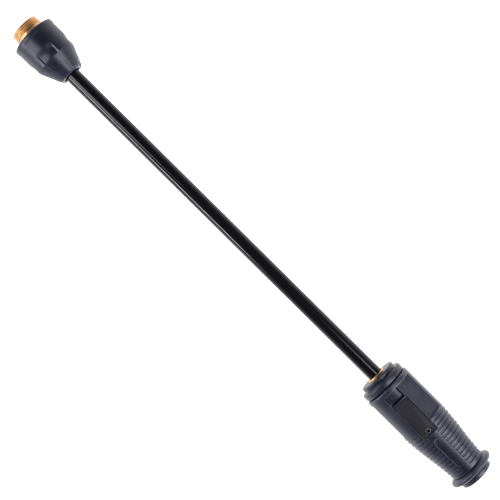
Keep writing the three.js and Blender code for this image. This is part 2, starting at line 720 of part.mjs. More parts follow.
// The grip grooves of one side of the taper.
function ribGrooves(side) {
  const count = Math.floor((NECK_END - RIB_WIDTH * 2 - RIB_START) / RIB_PITCH) + 1;
  const labelEnd = LABEL_START + LABEL_LENGTH;
  const labelDeg = THREE.MathUtils.radToDeg(Math.asin(LABEL_WIDTH / 2 / SLEEVE_RADIUS)) + 3;
  const grooves = [];
  for (let i = 0; i < count; i++) {
    const x = RIB_START + i * RIB_PITCH;
    const radius = taperRadius(Math.max(x, TAPER_START));
    const groove = turned([
      [x, radius - RIB_DEPTH],
      [x - RIB_WIDTH, radius + RIB_DEPTH],
      [x + RIB_WIDTH, radius + RIB_DEPTH],
    ]);
    const from = x < labelEnd + RIB_WIDTH ? labelDeg : RIB_CLEAR_DEG;
    const angles = side > 0 ? [from, 180 - RIB_CLEAR_DEG] : [RIB_CLEAR_DEG - 180, -from];
    grooves.push(groove.intersect(sector(x - 2, x + 2, ...angles, SLEEVE_RADIUS * 1.3)));
  }
  return grooves;
}

// The thumb pad between the grooves: a rounded bar that stands a little out of the taper.
function thumbPad() {
  const half = PAD_WIDTH / 2;
  const shape = new THREE.Shape();
  shape.moveTo(PAD_START + half, -half);
  shape.lineTo(PAD_START + PAD_LENGTH - half, -half);
  shape.absarc(PAD_START + PAD_LENGTH - half, 0, half, -Math.PI / 2, Math.PI / 2, false);
  shape.lineTo(PAD_START + half, half);
  shape.absarc(PAD_START + half, 0, half, Math.PI / 2, Math.PI * 1.5, false);
  const options = { depth: SLEEVE_RADIUS - SLEEVE_NOSE_RADIUS + 2, bevelEnabled: false, curveSegments: 6 };
  const geometry = new THREE.ExtrudeGeometry(shape, options);
  geometry.translate(0, 0, SLEEVE_NOSE_RADIUS);
  const outline = [[PAD_START - 1, SLEEVE_NOSE_BORE + SLEEVE_NOSE_WALL / 2]];
  for (let step = 0; step <= TAPER_STEPS; step++) {
    const x = PAD_START - 1 + ((PAD_LENGTH + 2) * step) / TAPER_STEPS;
    outline.push([x, taperRadius(x) + PAD_HEIGHT]);
  }
  outline.push([PAD_START + PAD_LENGTH + 1, SLEEVE_NOSE_BORE + SLEEVE_NOSE_WALL / 2]);
  return solidOf(geometry).intersect(turned(outline));
}

// A finger recess, numbered from the label towards +Y: a flat floor between two end walls.
function windowRecess(number) {
  const centre = WINDOW_MIDDLE_DEG + number * WINDOW_PITCH_DEG;
  const halfWidth = SLEEVE_RADIUS * Math.sin(radians(WINDOW_WIDTH_DEG / 2));
  const geometry = new THREE.BoxGeometry(WINDOW_LENGTH, halfWidth * 2, SLEEVE_RADIUS);
  geometry.translate(WINDOW_START + WINDOW_LENGTH / 2, 0, WINDOW_FLOOR + SLEEVE_RADIUS / 2);
  geometry.rotateX(-radians(centre));
  return solidOf(geometry);
}

function gripSleeve() {
  const top = SLEEVE_RADIUS + 1;
  const labelHalf = LABEL_WIDTH / 2 + FIT;
  const labelFloor = LABEL_LEVEL - LABEL_THICKNESS - SEAT;
  const labelPocket = block(
    [LABEL_START - FIT, -labelHalf, labelFloor],
    [LABEL_START + LABEL_LENGTH + FIT, labelHalf, top],
  );
  const slotHalf = TONGUE_WIDTH / 2 + SLOT_ARM;
  const tongueSlot = block(
    [TONGUE_START, -slotHalf, 0],
    [TONGUE_START + TONGUE_LENGTH + SLOT_BAR, slotHalf, top],
  );
  const screwX = LABEL_START + LABEL_LENGTH - SCREW_SETBACK;
  const pilotBottom = LABEL_LEVEL - SCREW_HEAD_LENGTH - SCREW_LENGTH - SEAT;
  const pilot = uprightRod(screwX, pilotBottom, top, SCREW_RADIUS + FIT, 12);
  const cuts = [
    labelPocket,
    tongueSlot,
    pilot,
    ...Array.from({ length: WINDOWS }, (_, number) => windowRecess(number)),
    ...ribGrooves(1),
    ...ribGrooves(-1),
  ];
  return cuts.reduce((sleeve, cut) => sleeve.subtract(cut), sleeveBody()).add(thumbPad());
}

function labelPlate() {
  const half = LABEL_WIDTH / 2;
  const plate = block(
    [LABEL_START, -half, LABEL_LEVEL - LABEL_THICKNESS],
    [LABEL_START + LABEL_LENGTH, half, LABEL_LEVEL],
  );
  const screwX = LABEL_START + LABEL_LENGTH - SCREW_SETBACK;
  return plate.subtract(uprightRod(screwX, 0, SLEEVE_RADIUS, SCREW_HEAD_RADIUS + FIT));
}

function plateScrew() {
  const screwX = LABEL_START + LABEL_LENGTH - SCREW_SETBACK;
  const headBottom = LABEL_LEVEL - SCREW_HEAD_LENGTH;
  const head = uprightRod(screwX, headBottom, LABEL_LEVEL, SCREW_HEAD_RADIUS);
  return head.add(uprightRod(screwX, headBottom - SCREW_LENGTH, headBottom + 0.5, SCREW_RADIUS, 12));
}

// A split ring in the sleeve's groove, which holds the carrier's flange against the step.
function sleeveClip() {
  const radius = SLEEVE_BORE + SLEEVE_CLIP_GROOVE - FIT;
  const whole = ring(SLEEVE_CLIP_START, SLEEVE_CLIP_END, BUSH_RADIUS + RUN, radius);
  const mouth = block(
    [SLEEVE_CLIP_START - 1, -CLIP_MOUTH / 2, -radius - 1],
    [SLEEVE_CLIP_END + 1, CLIP_MOUTH / 2, 0],
  );
  return whole.subtract(mouth);
}

// The cam's oval bore is tall enough for the open jaws, and as narrow as the closed ones need.
function camRing() {
  const swing = (CAM_END - PIVOT_X) * SWING_SLOPE;
  const tall = JAW_RADIUS + swing + RUN;
  const narrow = JAW_RADIUS + swing / 2;
  const oval = new THREE.Shape();
  oval.absellipse(0, 0, tall, narrow, 0, Math.PI * 2, false, 0);
  const options = { depth: CAM_LENGTH + 2, bevelEnabled: false, curveSegments: 32 };
  const geometry = new THREE.ExtrudeGeometry(oval, options);
  geometry.rotateY(Math.PI / 2);
  geometry.translate(CAM_START - 1, 0, 0);
  return ring(CAM_START, CAM_END, 0, SLEEVE_NOSE_BORE - FIT).subtract(solidOf(geometry));
}

function handFlange() {
  const middle = (FLANGE_START + FLANGE_END) / 2;
  const shoulder = FLANGE_RADIUS - FLANGE_ROUND;
  const outline = [[FLANGE_START, SLEEVE_NOSE_RADIUS + FIT]];
  for (let step = 0; step <= 6; step++) {
    const angle = (Math.PI * step) / 6;
    const along = (FLANGE_LENGTH / 2) * Math.cos(angle);
    outline.push([middle - along, shoulder + FLANGE_ROUND * Math.sin(angle)]);
  }
  outline.push([FLANGE_END, SLEEVE_NOSE_RADIUS + FIT]);
  return turned(outline);
}

function noseRing() {
  const spigotStart = SLEEVE_END - NOSE_SPIGOT_LENGTH;
  return turned([
    [spigotStart, MOUTH_RADIUS + MOUTH_LEAD],
    [spigotStart, SLEEVE_NOSE_BORE - FIT],
    [NOSE_START, SLEEVE_NOSE_BORE - FIT],
    [NOSE_START, NOSE_RADIUS],
    ...[0, 0.5, 1].map((share) => {
      const angle = (Math.PI / 2) * share;
      const x = HEAD_LENGTH - NOSE_ROUND * (1 - Math.sin(angle));
      return [x, NOSE_RADIUS - NOSE_ROUND * (1 - Math.cos(angle))];
    }),
    [HEAD_LENGTH, MOUTH_RADIUS + MOUTH_FLARE],
    [NOSE_START, MOUTH_RADIUS],
  ]);
}

// The tongue's catch rides in the neck of the barrel, and stops the sleeve at both ends of its slide.
function snapTongue() {
  const half = TONGUE_WIDTH / 2;
  const start = TONGUE_START + SEAT;
  const end = TONGUE_START + TONGUE_LENGTH;
  const shell = ring(start, end, SLEEVE_RADIUS - TONGUE_THICKNESS, SLEEVE_RADIUS);
  const strip = block([start - 1, -half, 0], [end + 1, half, SLEEVE_RADIUS + 1]);
  const catchBlock = block(
    [CATCH_START, -CATCH_WIDTH / 2, BARREL_NECK_RADIUS + RUN],
    [CATCH_START + CATCH_LENGTH, CATCH_WIDTH / 2, SLEEVE_RADIUS - TONGUE_THICKNESS / 2],
  );
  return shell.intersect(strip).add(catchBlock);
}

// ---------------------------------------------------------------------------------------------------
// Finishes and assembly
// ---------------------------------------------------------------------------------------------------

const FINISHES = {
  brass: { color: 0xc89a3c, roughness: 0.3, metalness: 1 },
  steel: { color: 0x9a9da2, roughness: 0.35, metalness: 1 },
  coatedSteel: { color: 0x101114, roughness: 0.16, metalness: 0 },
  collarPlastic: { color: 0x1d1e22, roughness: 0.42, metalness: 0 },
  headPlastic: { color: 0x1a1a1d, roughness: 0.48, metalness: 0 },
  guidePlastic: { color: 0x2b2c30, roughness: 0.5, metalness: 0 },
  seal: { color: 0x0c0c0d, roughness: 0.75, metalness: 0 },
  slipPlastic: { color: 0xd8d6cf, roughness: 0.5, metalness: 0 },
};

// A named mesh of a solid, in the finish given.
function piece(name, solid, finish) {
  const { vertProperties, triVerts } = solid.getMesh();
  const geometry = new THREE.BufferGeometry();
  geometry.setAttribute("position", new THREE.BufferAttribute(vertProperties, 3));
  geometry.setIndex(new THREE.BufferAttribute(triVerts, 1));
  geometry.computeVertexNormals();
  const material = new THREE.MeshStandardMaterial({ ...FINISHES[finish], flatShading: true });
  const mesh = new THREE.Mesh(geometry, material);
  mesh.name = name;
  return mesh;
}

// A jaw hung on its pin, swung open to its place at rest.
function hungJaw(name, side) {
  const mesh = piece(name, fanJaw(side), "brass");
  mesh.geometry.translate(-PIVOT_X, 0, -side * PIN_HEIGHT);
  mesh.position.set(PIVOT_X, 0, side * PIN_HEIGHT);
  mesh.rotation.y = -side * radians(JAW_SWING_DEG);
  return mesh;
}

const coupling = new THREE.Group();
coupling.add(
  piece("coupling_nut", couplingNut(), "brass"),
  piece("coupling_collar", couplingCollar(), "collarPlastic"),
);

const shaft = new THREE.Group();
shaft.add(
  piece("tube_nipple", tubeNipple(), "brass"),
  piece("nipple_seal", nippleSeal(), "seal"),
  piece("swivel_washer", swivelWasher(), "slipPlastic"),
  piece("lance_tube", lanceTube(), "coatedSteel"),
);

const head = new THREE.Group();
head.position.x = HEAD_START;
head.add(
  piece("head_stem", headStem(), "brass"),
  piece("stem_seal_rear", stemSeal(0), "seal"),
  piece("stem_seal_front", stemSeal(1), "seal"),
  piece("stem_clip", stemClip(), "steel"),
  piece("stem_nut", stemNut(), "brass"),
  piece("rear_collar", rearCollar(), "headPlastic"),
);

const carrier = new THREE.Group();
carrier.add(
  piece("carrier_bush", carrierBush(), "brass"),
  piece("nozzle_carrier", nozzleCarrier(), "guidePlastic"),
  piece("jet_seal", jetSeal(), "seal"),
  piece("jet_insert", jetInsert(), "steel"),
  piece("upper_jaw_pin", jawPin(1), "steel"),
  piece("lower_jaw_pin", jawPin(-1), "steel"),
  hungJaw("upper_fan_jaw", 1),
  hungJaw("lower_fan_jaw", -1),
);

const sleeve = new THREE.Group();
sleeve.add(
  piece("grip_sleeve", gripSleeve(), "headPlastic"),
  piece("label_plate", labelPlate(), "headPlastic"),
  piece("plate_screw", plateScrew(), "steel"),
  piece("sleeve_clip", sleeveClip(), "steel"),
  piece("cam_ring", camRing(), "guidePlastic"),
  piece("hand_flange", handFlange(), "headPlastic"),
  piece("nose_ring", noseRing(), "headPlastic"),
  piece("snap_tongue", snapTongue(), "headPlastic"),
);

carrier.add(sleeve);
head.add(carrier);

const lance = new THREE.Group();
lance.position.set(-LANCE_LENGTH / 2, 0, SLEEVE_RADIUS);
lance.add(coupling, shaft, head);

export default lance;
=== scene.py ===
"""Spray lance for a pressure washer: a brass coupling in a grip collar, a coated tube and a nozzle head.

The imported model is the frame. Pieces are shaped in millimetres about the lance's axis, with x along the
frame's +X, and are set at the axis height and brought to metres when their meshes are finished.
"""

import json
import logging
import math
from dataclasses import dataclass, field
from enum import Enum
from typing import Callable, NamedTuple, Optional, Union

import bmesh
import bpy
from mathutils import Matrix, Vector

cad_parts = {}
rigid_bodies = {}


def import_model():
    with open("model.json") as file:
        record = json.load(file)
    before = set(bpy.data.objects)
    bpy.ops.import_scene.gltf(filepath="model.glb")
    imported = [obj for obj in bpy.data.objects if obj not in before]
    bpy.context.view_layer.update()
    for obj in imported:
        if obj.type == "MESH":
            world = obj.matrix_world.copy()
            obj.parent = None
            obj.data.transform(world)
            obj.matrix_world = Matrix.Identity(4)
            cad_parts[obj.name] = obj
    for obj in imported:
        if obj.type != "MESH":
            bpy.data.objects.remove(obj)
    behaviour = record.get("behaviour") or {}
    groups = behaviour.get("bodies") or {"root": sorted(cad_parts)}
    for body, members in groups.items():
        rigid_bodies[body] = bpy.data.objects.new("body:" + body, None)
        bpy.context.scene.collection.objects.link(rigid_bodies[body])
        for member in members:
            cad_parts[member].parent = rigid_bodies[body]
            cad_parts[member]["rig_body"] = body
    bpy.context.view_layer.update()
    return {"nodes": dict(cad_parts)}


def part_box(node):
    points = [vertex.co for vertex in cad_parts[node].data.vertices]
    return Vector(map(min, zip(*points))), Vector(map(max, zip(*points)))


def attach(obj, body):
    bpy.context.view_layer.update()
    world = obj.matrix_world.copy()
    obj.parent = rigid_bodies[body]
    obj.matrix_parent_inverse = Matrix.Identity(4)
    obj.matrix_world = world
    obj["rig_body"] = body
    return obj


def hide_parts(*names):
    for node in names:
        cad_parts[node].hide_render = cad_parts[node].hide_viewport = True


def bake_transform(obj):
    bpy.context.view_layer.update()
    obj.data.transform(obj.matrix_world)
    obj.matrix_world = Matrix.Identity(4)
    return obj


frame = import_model()

LOG = logging.getLogger("spray_lance")
MM = 0.001

Colour = tuple[float, float, float]
Place = tuple[float, float, float]
Relief = Callable[[float, float, float], float]
Piece = bpy.types.Object
BMesh = bmesh.types.BMesh


class Extent(NamedTuple):
    """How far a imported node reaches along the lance, in millimetres."""

    start: float
    end: float


def extent(node: str) -> Extent:
    """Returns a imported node's reach along the lance."""
    low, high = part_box(node)
    return Extent(low.x / MM, high.x / MM)


def axis_height() -> float:
    """Returns the height of the lance's axis over the floor, in millimetres."""
    low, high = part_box("lance_tube")
    return (low.z + high.z) / 2 / MM


def smooth(value: float, low: float, high: float) -> float:
    """Rises smoothly from 0 at low to 1 at high.

    Args:
        value: The number to place between the two ends.
        low: Where the rise starts.
        high: Where it ends, which may be below low.

    Returns:
        A number from 0 to 1.
    """
    share = min(max((value - low) / (high - low), 0.0), 1.0)
    return share * share * (3 - 2 * share)


def between(value: float, start: float, end: float, edge: float) -> float:
    """Returns 1 from start to end and 0 outside, with each step edge wide and centred on its limit."""
    half = edge / 2
    return smooth(value, start - half, start + half) * smooth(value, end + half, end - half)


# ---- Shader trees ----


class Flow:
    """An output of a shader node. Sums on it add Math nodes."""

    def __init__(self, graph: "Graph", output: bpy.types.NodeSocket) -> None:
        """Keeps the tree that the output belongs to."""
        self.graph = graph
        self.output = output

    def __add__(self, other: "Amount") -> "Flow":
        """Adds a number or another output."""
        return self.graph.math("ADD", self, other)

    def __sub__(self, other: "Amount") -> "Flow":
        """Takes a number or another output away."""
        return self.graph.math("SUBTRACT", self, other)

    def __rsub__(self, other: "Amount") -> "Flow":
        """Takes this output away from a number."""
        return self.graph.math("SUBTRACT", other, self)

    def __mul__(self, other: "Amount") -> "Flow":
        """Multiplies by a number or another output."""
        return self.graph.math("MULTIPLY", self, other)

    __radd__ = __add__
    __rmul__ = __mul__


Amount = Union[float, Flow]


class Graph:
    """The shader tree of a material or of the world."""

    def __init__(self, owner: Union[bpy.types.Material, bpy.types.World]) -> None:
        """Empties the owner's tree.

        Args:
            owner: The material or world that the tree shades.
        """
        self.owner = owner
        owner.use_nodes = True
        self.tree = owner.node_tree
        self.tree.nodes.clear()

    def node(self, kind: str, settings: Optional[dict] = None, sockets: Optional[dict] = None,
             output: Union[int, str] = 0) -> Flow:
        """Adds a node.

        Args:
            kind: The node's type.
            settings: Its properties, set first.
            sockets: Values or outputs for its inputs, by name or number.
            output: Which of its outputs to return.

        Returns:
            That output.
        """
        made = self.tree.nodes.new(kind)
        for key, value in (settings or {}).items():
            setattr(made, key, value)
        for key, value in (sockets or {}).items():
            if isinstance(value, Flow):
                self.tree.links.new(value.output, made.inputs[key])
            elif isinstance(value, tuple) and made.inputs[key].type == "RGBA":
                made.inputs[key].default_value = (*value, 1.0)
            else:
                made.inputs[key].default_value = value
        return Flow(self, made.outputs[output])

    def math(self, operation: str, left: Amount, right: Amount) -> Flow:
        """Returns the result of a Math node on two amounts."""
        return self.node("ShaderNodeMath", {"operation": operation}, {0: left, 1: right})

    def place(self) -> Flow:
        """Returns the Object coordinates."""
        return self.node("ShaderNodeTexCoord", output="Object")

    def noise(self, scale: float, detail: float = 2.0, stretch: Optional[tuple] = None) -> Flow:
        """Adds a noise pattern on Object coordinates.

        Args:
            scale: Its features per metre.
            detail: Its number of finer layers.
            stretch: Factors on the three coordinates, for streaks.

        Returns:
            The noise, about 0.5.
        """
        place = self.place()
        if stretch:
            place = self.node("ShaderNodeMapping", sockets={"Vector": place, "Scale": stretch})
        return self.node("ShaderNodeTexNoise",
                         sockets={"Vector": place, "Scale": scale, "Detail": detail})

    def turn_marks(self, per_metre: float) -> Flow:
        """Adds noise that changes only along the lance, as the marks of a lathe tool do.

        Args:
            per_metre: The marks per metre.

        Returns:
            The noise, about 0.5.
        """
        along = self.node("ShaderNodeSeparateXYZ", sockets={"Vector": self.place()}, output="X")
        return self.node("ShaderNodeTexNoise", {"noise_dimensions": "1D"},
                         {"W": along * per_metre, "Scale": 1.0, "Detail": 2.0})

    def blend(self, factor: Amount, first: Colour, second: Colour) -> Flow:
        """Returns a colour between two, by a factor."""
        return self.node("ShaderNodeMix", {"data_type": "RGBA"}, {0: factor, 6: first, 7: second}, 2)

    def span(self, value: Flow, low: float, high: float) -> Flow:
        """Returns where a value stands between two others, from 0 to 1."""
        return self.node("ShaderNodeMapRange",
                         sockets={"Value": value, "From Min": low, "From Max": high})

    def bump(self, height: Flow, depth: float) -> Flow:
        """Returns the normals of a surface with that height pattern, depth in metres."""
        return self.node("ShaderNodeBump", sockets={"Height": height, "Distance": depth, "Strength": 1.0})

    def finish(self, **sockets: Union[Amount, Colour]) -> bpy.types.Material:
        """Ends the tree in a Principled shader.

        Args:
            **sockets: Its inputs, with _ for each space in their names.

        Returns:
            The material.
        """
        named = {key.replace("_", " "): value for key, value in sockets.items()}
        surface = self.node("ShaderNodeBsdfPrincipled", sockets=named)
        self.end(surface, "ShaderNodeOutputMaterial")
        return self.owner

    def end(self, surface: Flow, kind: str) -> None:
        """Links a shader to an output node of the given type."""
        last = self.tree.nodes.new(kind)
        self.tree.links.new(surface.output, last.inputs["Surface"])


# ---- Finishes ----


class Slot(Enum):
    """The record's material slots."""

    BRASS = "brass"
    COATED_STEEL = "coated_steel"
    COLLAR_PLASTIC = "collar_plastic"
    HEAD_PLASTIC = "head_plastic"
    LABEL_PLASTIC = "label_plastic"
    GUIDE_PLASTIC = "guide_plastic"
    SLIP_PLASTIC = "slip_plastic"
    SEAL = "seal"
    STEEL = "steel"


@dataclass(frozen=True)
class TurnedMetal:
    """Bare metal off a lathe, with tool marks round the axis and a little tarnish."""

    bright: Colour
    dull: Colour
    roughness: float
    marks_per_metre: float = 5200.0
    mark_depth: float = 0.0000012

    def material(self, name: str) -> bpy.types.Material:
        """Builds the material.

        Args:
            name: Its name.

        Returns:
            The material.
        """
        graph = Graph(bpy.data.materials.new(name))
        tarnish = graph.span(graph.noise(160.0, 4.0), 0.35, 0.75)
        marks = graph.turn_marks(self.marks_per_metre)
        rough = self.roughness + 0.1 * tarnish + 0.05 * marks
        return graph.finish(Base_Color=graph.blend(tarnish, self.bright, self.dull), Metallic=1.0,
                            Roughness=rough, Normal=graph.bump(marks, self.mark_depth))


@dataclass(frozen=True)
class GlossCoat:
    """Gloss black coating on drawn tube, with a slight orange peel and fine rub marks along it."""

    colour: Colour
    rubbed: Colour
    roughness: float

    def material(self, name: str) -> bpy.types.Material:
        """Builds the material.

        Args:
            name: Its name.

        Returns:
            The material.
        """
        graph = Graph(bpy.data.materials.new(name))
        peel = graph.noise(620.0, 2.0)
        haze = graph.noise(45.0, 3.0)
        rubs = graph.span(graph.noise(60.0, 5.0, (0.6, 22.0, 22.0)), 0.6, 0.82)
        rough = self.roughness + 0.06 * haze + 0.1 * rubs
        return graph.finish(Base_Color=graph.blend(rubs, self.colour, self.rubbed), Roughness=rough,
                            Specular_IOR_Level=0.28, Normal=graph.bump(peel, 0.0000025))


@dataclass(frozen=True)
class Moulded:
    """Moulded plastic: a spark-eroded grain, slow sinks, cloudy gloss, and a painted highlight that
    lightens convex edges.
    """

    colour: Colour
    # The lighter colour: a little random mottle, and mostly the painted highlight on convex edges.
    mottle_and_edge_highlight: Colour
    roughness: float
    grain_per_metre: float = 3000.0
    grain_depth: float = 0.000012
    specular: float = 0.5
    sheen: Colour = (0.84, 0.84, 1.0)

    def material(self, name: str) -> bpy.types.Material:
        """Builds the material.

        Args:
            name: Its name.

        Returns:
            The material.
        """
        graph = Graph(bpy.data.materials.new(name))
        grain = graph.noise(self.grain_per_metre, 3.0)
        cloud = graph.noise(90.0, 4.0)
        pointed = graph.node("ShaderNodeNewGeometry", output="Pointiness")
        # Painted highlight: convex edges, found by pointiness, are mixed towards the lighter colour, with a
        # little random mottle from the cloud noise.
        edge = graph.span(pointed, 0.505, 0.56)
        shade = graph.span(cloud, 0.3, 0.75) * 0.15 + edge * 0.85
        rough = self.roughness + 0.14 * (cloud - 0.5) + 0.1 * (grain - 0.5) - 0.08 * edge
        return graph.finish(Base_Color=graph.blend(shade, self.colour, self.mottle_and_edge_highlight), Roughness=rough,
                            Specular_IOR_Level=self.specular, Specular_Tint=self.sheen,
                            Normal=graph.bump(grain + cloud * 0.6, self.grain_depth))


@dataclass(frozen=True)
class Rubber:
    """Dull seal rubber with a dusty bloom."""

    colour: Colour
    bloom: Colour

    def material(self, name: str) -> bpy.types.Material:
        """Builds the material.

        Args:
            name: Its name.

        Returns:
            The material.
        """
        graph = Graph(bpy.data.materials.new(name))
        dust = graph.span(graph.noise(900.0, 4.0), 0.45, 0.8)
        return graph.finish(Base_Color=graph.blend(dust, self.colour, self.bloom),
                            Roughness=0.62 + 0.2 * dust, Normal=graph.bump(dust, 0.00002))


FINISHES = {
    Slot.BRASS: TurnedMetal(bright=(0.74, 0.48, 0.25), dull=(0.6, 0.36, 0.16), roughness=0.36),
    Slot.STEEL: TurnedMetal(bright=(0.5, 0.5, 0.52), dull=(0.33, 0.33, 0.34), roughness=0.28),
    Slot.COATED_STEEL: GlossCoat(colour=(0.004, 0.004, 0.006), rubbed=(0.01, 0.01, 0.013), roughness=0.1),
    # The second colour of each moulded plastic is its random mottle and its painted edge highlight.
    Slot.COLLAR_PLASTIC: Moulded(colour=(0.006, 0.006, 0.013), mottle_and_edge_highlight=(0.05, 0.05, 0.075), roughness=0.37),
    Slot.HEAD_PLASTIC: Moulded(colour=(0.004, 0.004, 0.011), mottle_and_edge_highlight=(0.075, 0.075, 0.11), roughness=0.37),
    Slot.LABEL_PLASTIC: Moulded(colour=(0.006, 0.006, 0.008), mottle_and_edge_highlight=(0.016, 0.016, 0.019), roughness=0.42,
                                grain_per_metre=5200.0, grain_depth=0.000008),
    Slot.GUIDE_PLASTIC: Moulded(colour=(0.05, 0.05, 0.055), mottle_and_edge_highlight=(0.09, 0.09, 0.095), roughness=0.48),
    Slot.SLIP_PLASTIC: Moulded(colour=(0.66, 0.64, 0.58), mottle_and_edge_highlight=(0.78, 0.76, 0.7), roughness=0.45),
    Slot.SEAL: Rubber(colour=(0.008, 0.008, 0.009), bloom=(0.03, 0.03, 0.032)),
}


class Wardrobe:
    """Makes each slot's material once and hands it out."""

    def __init__(self) -> None:
        """Starts with nothing made."""
        self.made: dict[Slot, bpy.types.Material] = {}

    def material(self, slot: Slot) -> bpy.types.Material:
        """Finds the slot's material, and makes it at first use.

        Args:
            slot: The material slot.

        Returns:
            The material.
        """
        if slot not in self.made:
            self.made[slot] = FINISHES[slot].material(slot.value)
        return self.made[slot]

    def dress(self, slot: Slot, *nodes: str) -> None:
        """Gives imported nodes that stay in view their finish.

        Args:
            slot: Their material slot.
            *nodes: The nodes' names.
        """
        for node in nodes:
            frame["nodes"][node].material_slots[0].material = self.material(slot)
            LOG.info("dressed %s in %s", node, slot.value)

    def add(self, piece: Piece, node: str, slot: Slot) -> None:
        """Dresses a new piece, has it stand for a node and ride on the node's body.

        Args:
            piece: The new object.
            node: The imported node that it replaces.
            slot: Its material slot.
        """
        piece.data.materials.append(self.material(slot))
        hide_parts(node)
        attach(piece, frame["nodes"][node]["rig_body"])
        LOG.info("built %s for %s: %d faces", piece.name, node, len(piece.data.polygons))


# ---- Meshes ----


class Corner(NamedTuple):
    """A corner of a turned outline: place along the lance, radius, and how far back it is rounded."""

    x: float
    r: float
    round: float = 0.0


Outline = list[tuple[float, ...]]

ROUND_STEPS = 5
MERGE = 1e-4
SHARP_DEG = 34.0


def rounded(outline: Outline, closed: bool = False) -> list[Vector]:
    """Rounds the corners of an outline with arcs.

    Args:
        outline: The values of each Corner in order.
        closed: Whether the last corner joins the first.

    Returns:
        The outline's points, as (x, radius).
    """
    points = []
    corners = [Corner(*values) for values in outline]
    count = len(corners)
    for i, corner in enumerate(corners):
        here = Vector((corner.x, corner.r))
        inner = closed or 0 < i < count - 1
        if not inner or corner.round <= 0:
            points.append(here)
            continue
        before = Vector(corners[i - 1][:2]) - here
        after = Vector(corners[(i + 1) % count][:2]) - here
        back = min(corner.round, before.length * 0.49, after.length * 0.49)
        start = here + before.normalized() * back
        end = here + after.normalized() * back
        weight = math.sin(before.angle(after) / 2)
        for step in range(ROUND_STEPS + 1):
            t = step / ROUND_STEPS
            parts = ((1 - t) ** 2, 2 * t * (1 - t) * weight, t * t)
            points.append((start * parts[0] + here * parts[1] + end * parts[2]) / sum(parts))
    return points


def with_stations(points: list[Vector], stations: list[float]) -> list[Vector]:
    """Adds a point to an outline wherever it passes one of the stations along the lance.

    Args:
        points: The outline, as (x, radius).
        stations: Places along the lance.

    Returns:
        The outline with the added points in order.
    """
    result = [points[0]]
    for start, end in zip(points, points[1:]):
        low, high = sorted((start.x, end.x))
        passed = sorted((x for x in stations if low + MERGE < x < high - MERGE), reverse=end.x < start.x)
        result.extend(start.lerp(end, (x - start.x) / (end.x - start.x)) for x in passed)
        result.append(end)
    return result


def stations(start: float, end: float, step: float) -> list[float]:
    """Returns even places from start to end, about step apart."""
    count = max(1, round((end - start) / step))
    return [start + (end - start) * i / count for i in range(count + 1)]


def finish_mesh(mesh: BMesh, name: str) -> Piece:
    """Cleans a mesh in millimetres about the axis, and makes an object of it in metres in the frame.

    Args:
        mesh: The mesh, which is freed.
        name: The object's name.

    Returns:
        The object, at the origin.
    """
    bmesh.ops.remove_doubles(mesh, verts=mesh.verts, dist=MERGE)
    bmesh.ops.recalc_face_normals(mesh, faces=mesh.faces)
    bmesh.ops.translate(mesh, verts=mesh.verts, vec=(0, 0, axis_height()))
    bmesh.ops.scale(mesh, verts=mesh.verts, vec=(MM, MM, MM))
    for face in mesh.faces:
        face.smooth = True
    for edge in mesh.edges:
        edge.smooth = not (edge.is_manifold and edge.calc_face_angle(0.0) > math.radians(SHARP_DEG))
    data = bpy.data.meshes.new(name)
    mesh.to_mesh(data)
    mesh.free()
    piece = bpy.data.objects.new(name, data)
    bpy.context.scene.collection.objects.link(piece)
    return piece


@dataclass
class Turned:
    """A piece turned about the lance's axis.

    The spin starts at start_deg from straight up and goes through the sectors, each so many degrees in so
    many steps.
    """

    sectors: tuple[tuple[float, int], ...] = ((360.0, 96),)
    start_deg: float = 0.0
    mesh: BMesh = field(default_factory=bmesh.new)

    def spin(self, points: list[Vector], closed: bool = False, relief: Optional[Relief] = None) -> None:
        """Spins an outline into a skin.

        Args:
            points: The outline, as (x, radius).
            closed: Whether to join its ends.
            relief: Gives the radius at a place along the lance and an angle, from the turned radius.
        """
        mesh = self.mesh
        known = set(mesh.verts)
        verts = [mesh.verts.new((point.x, 0.0, point.y)) for point in points]
        pairs = list(zip(verts, verts[1:])) + ([(verts[-1], verts[0])] if closed else [])
        ring = verts + [mesh.edges.new(pair) for pair in pairs]
        first = Matrix.Rotation(math.radians(-self.start_deg), 3, "X")
        bmesh.ops.rotate(mesh, verts=verts, cent=(0, 0, 0), matrix=first)
        whole = len(self.sectors) == 1
        for degrees, steps in self.sectors:
            made = bmesh.ops.spin(mesh, geom=ring, cent=(0, 0, 0), axis=(1, 0, 0),
                                  angle=math.radians(degrees), steps=steps, use_merge=whole)
            ring = made["geom_last"]
        bmesh.ops.remove_doubles(mesh, verts=[v for v in mesh.verts if v not in known], dist=MERGE)
        if relief:
            self.shape([v for v in mesh.verts if v not in known], relief)

    def shape(self, verts: list[bmesh.types.BMVert], relief: Relief) -> None:
        """Moves vertices towards or away from the axis.

        Args:
            verts: The vertices.
            relief: Gives each one its new radius.
        """
        for vert in verts:
            radius = math.hypot(vert.co.y, vert.co.z)
            angle = math.degrees(math.atan2(vert.co.y, vert.co.z))
            share = relief(vert.co.x, angle, radius) / radius
            vert.co.y *= share
            vert.co.z *= share

    def close_ends(self) -> None:
        """Bridges the skins' open ends at the two ends of the piece."""
        bounds = [edge for edge in self.mesh.edges if edge.is_boundary]
        middle = sum(edge.verts[0].co.x for edge in bounds) / len(bounds)
        for side in (-1, 1):
            ends = [edge for edge in bounds if (edge.verts[0].co.x - middle) * side > 0]
            bmesh.ops.bridge_loops(self.mesh, edges=ends)

    def finish(self, name: str) -> Piece:
        """Returns the finished object."""
        return finish_mesh(self.mesh, name)


def turned_ring(name: str, outline: Outline, sides: int = 96) -> Piece:
    """Turns a closed outline.

    Args:
        name: The object's name.
        outline: The values of each Corner in order.
        sides: Steps round the piece.

    Returns:
        The object.
    """
    turning = Turned(sectors=((360.0, sides),))
    turning.spin(rounded(outline, closed=True), closed=True)
    return turning.finish(name)


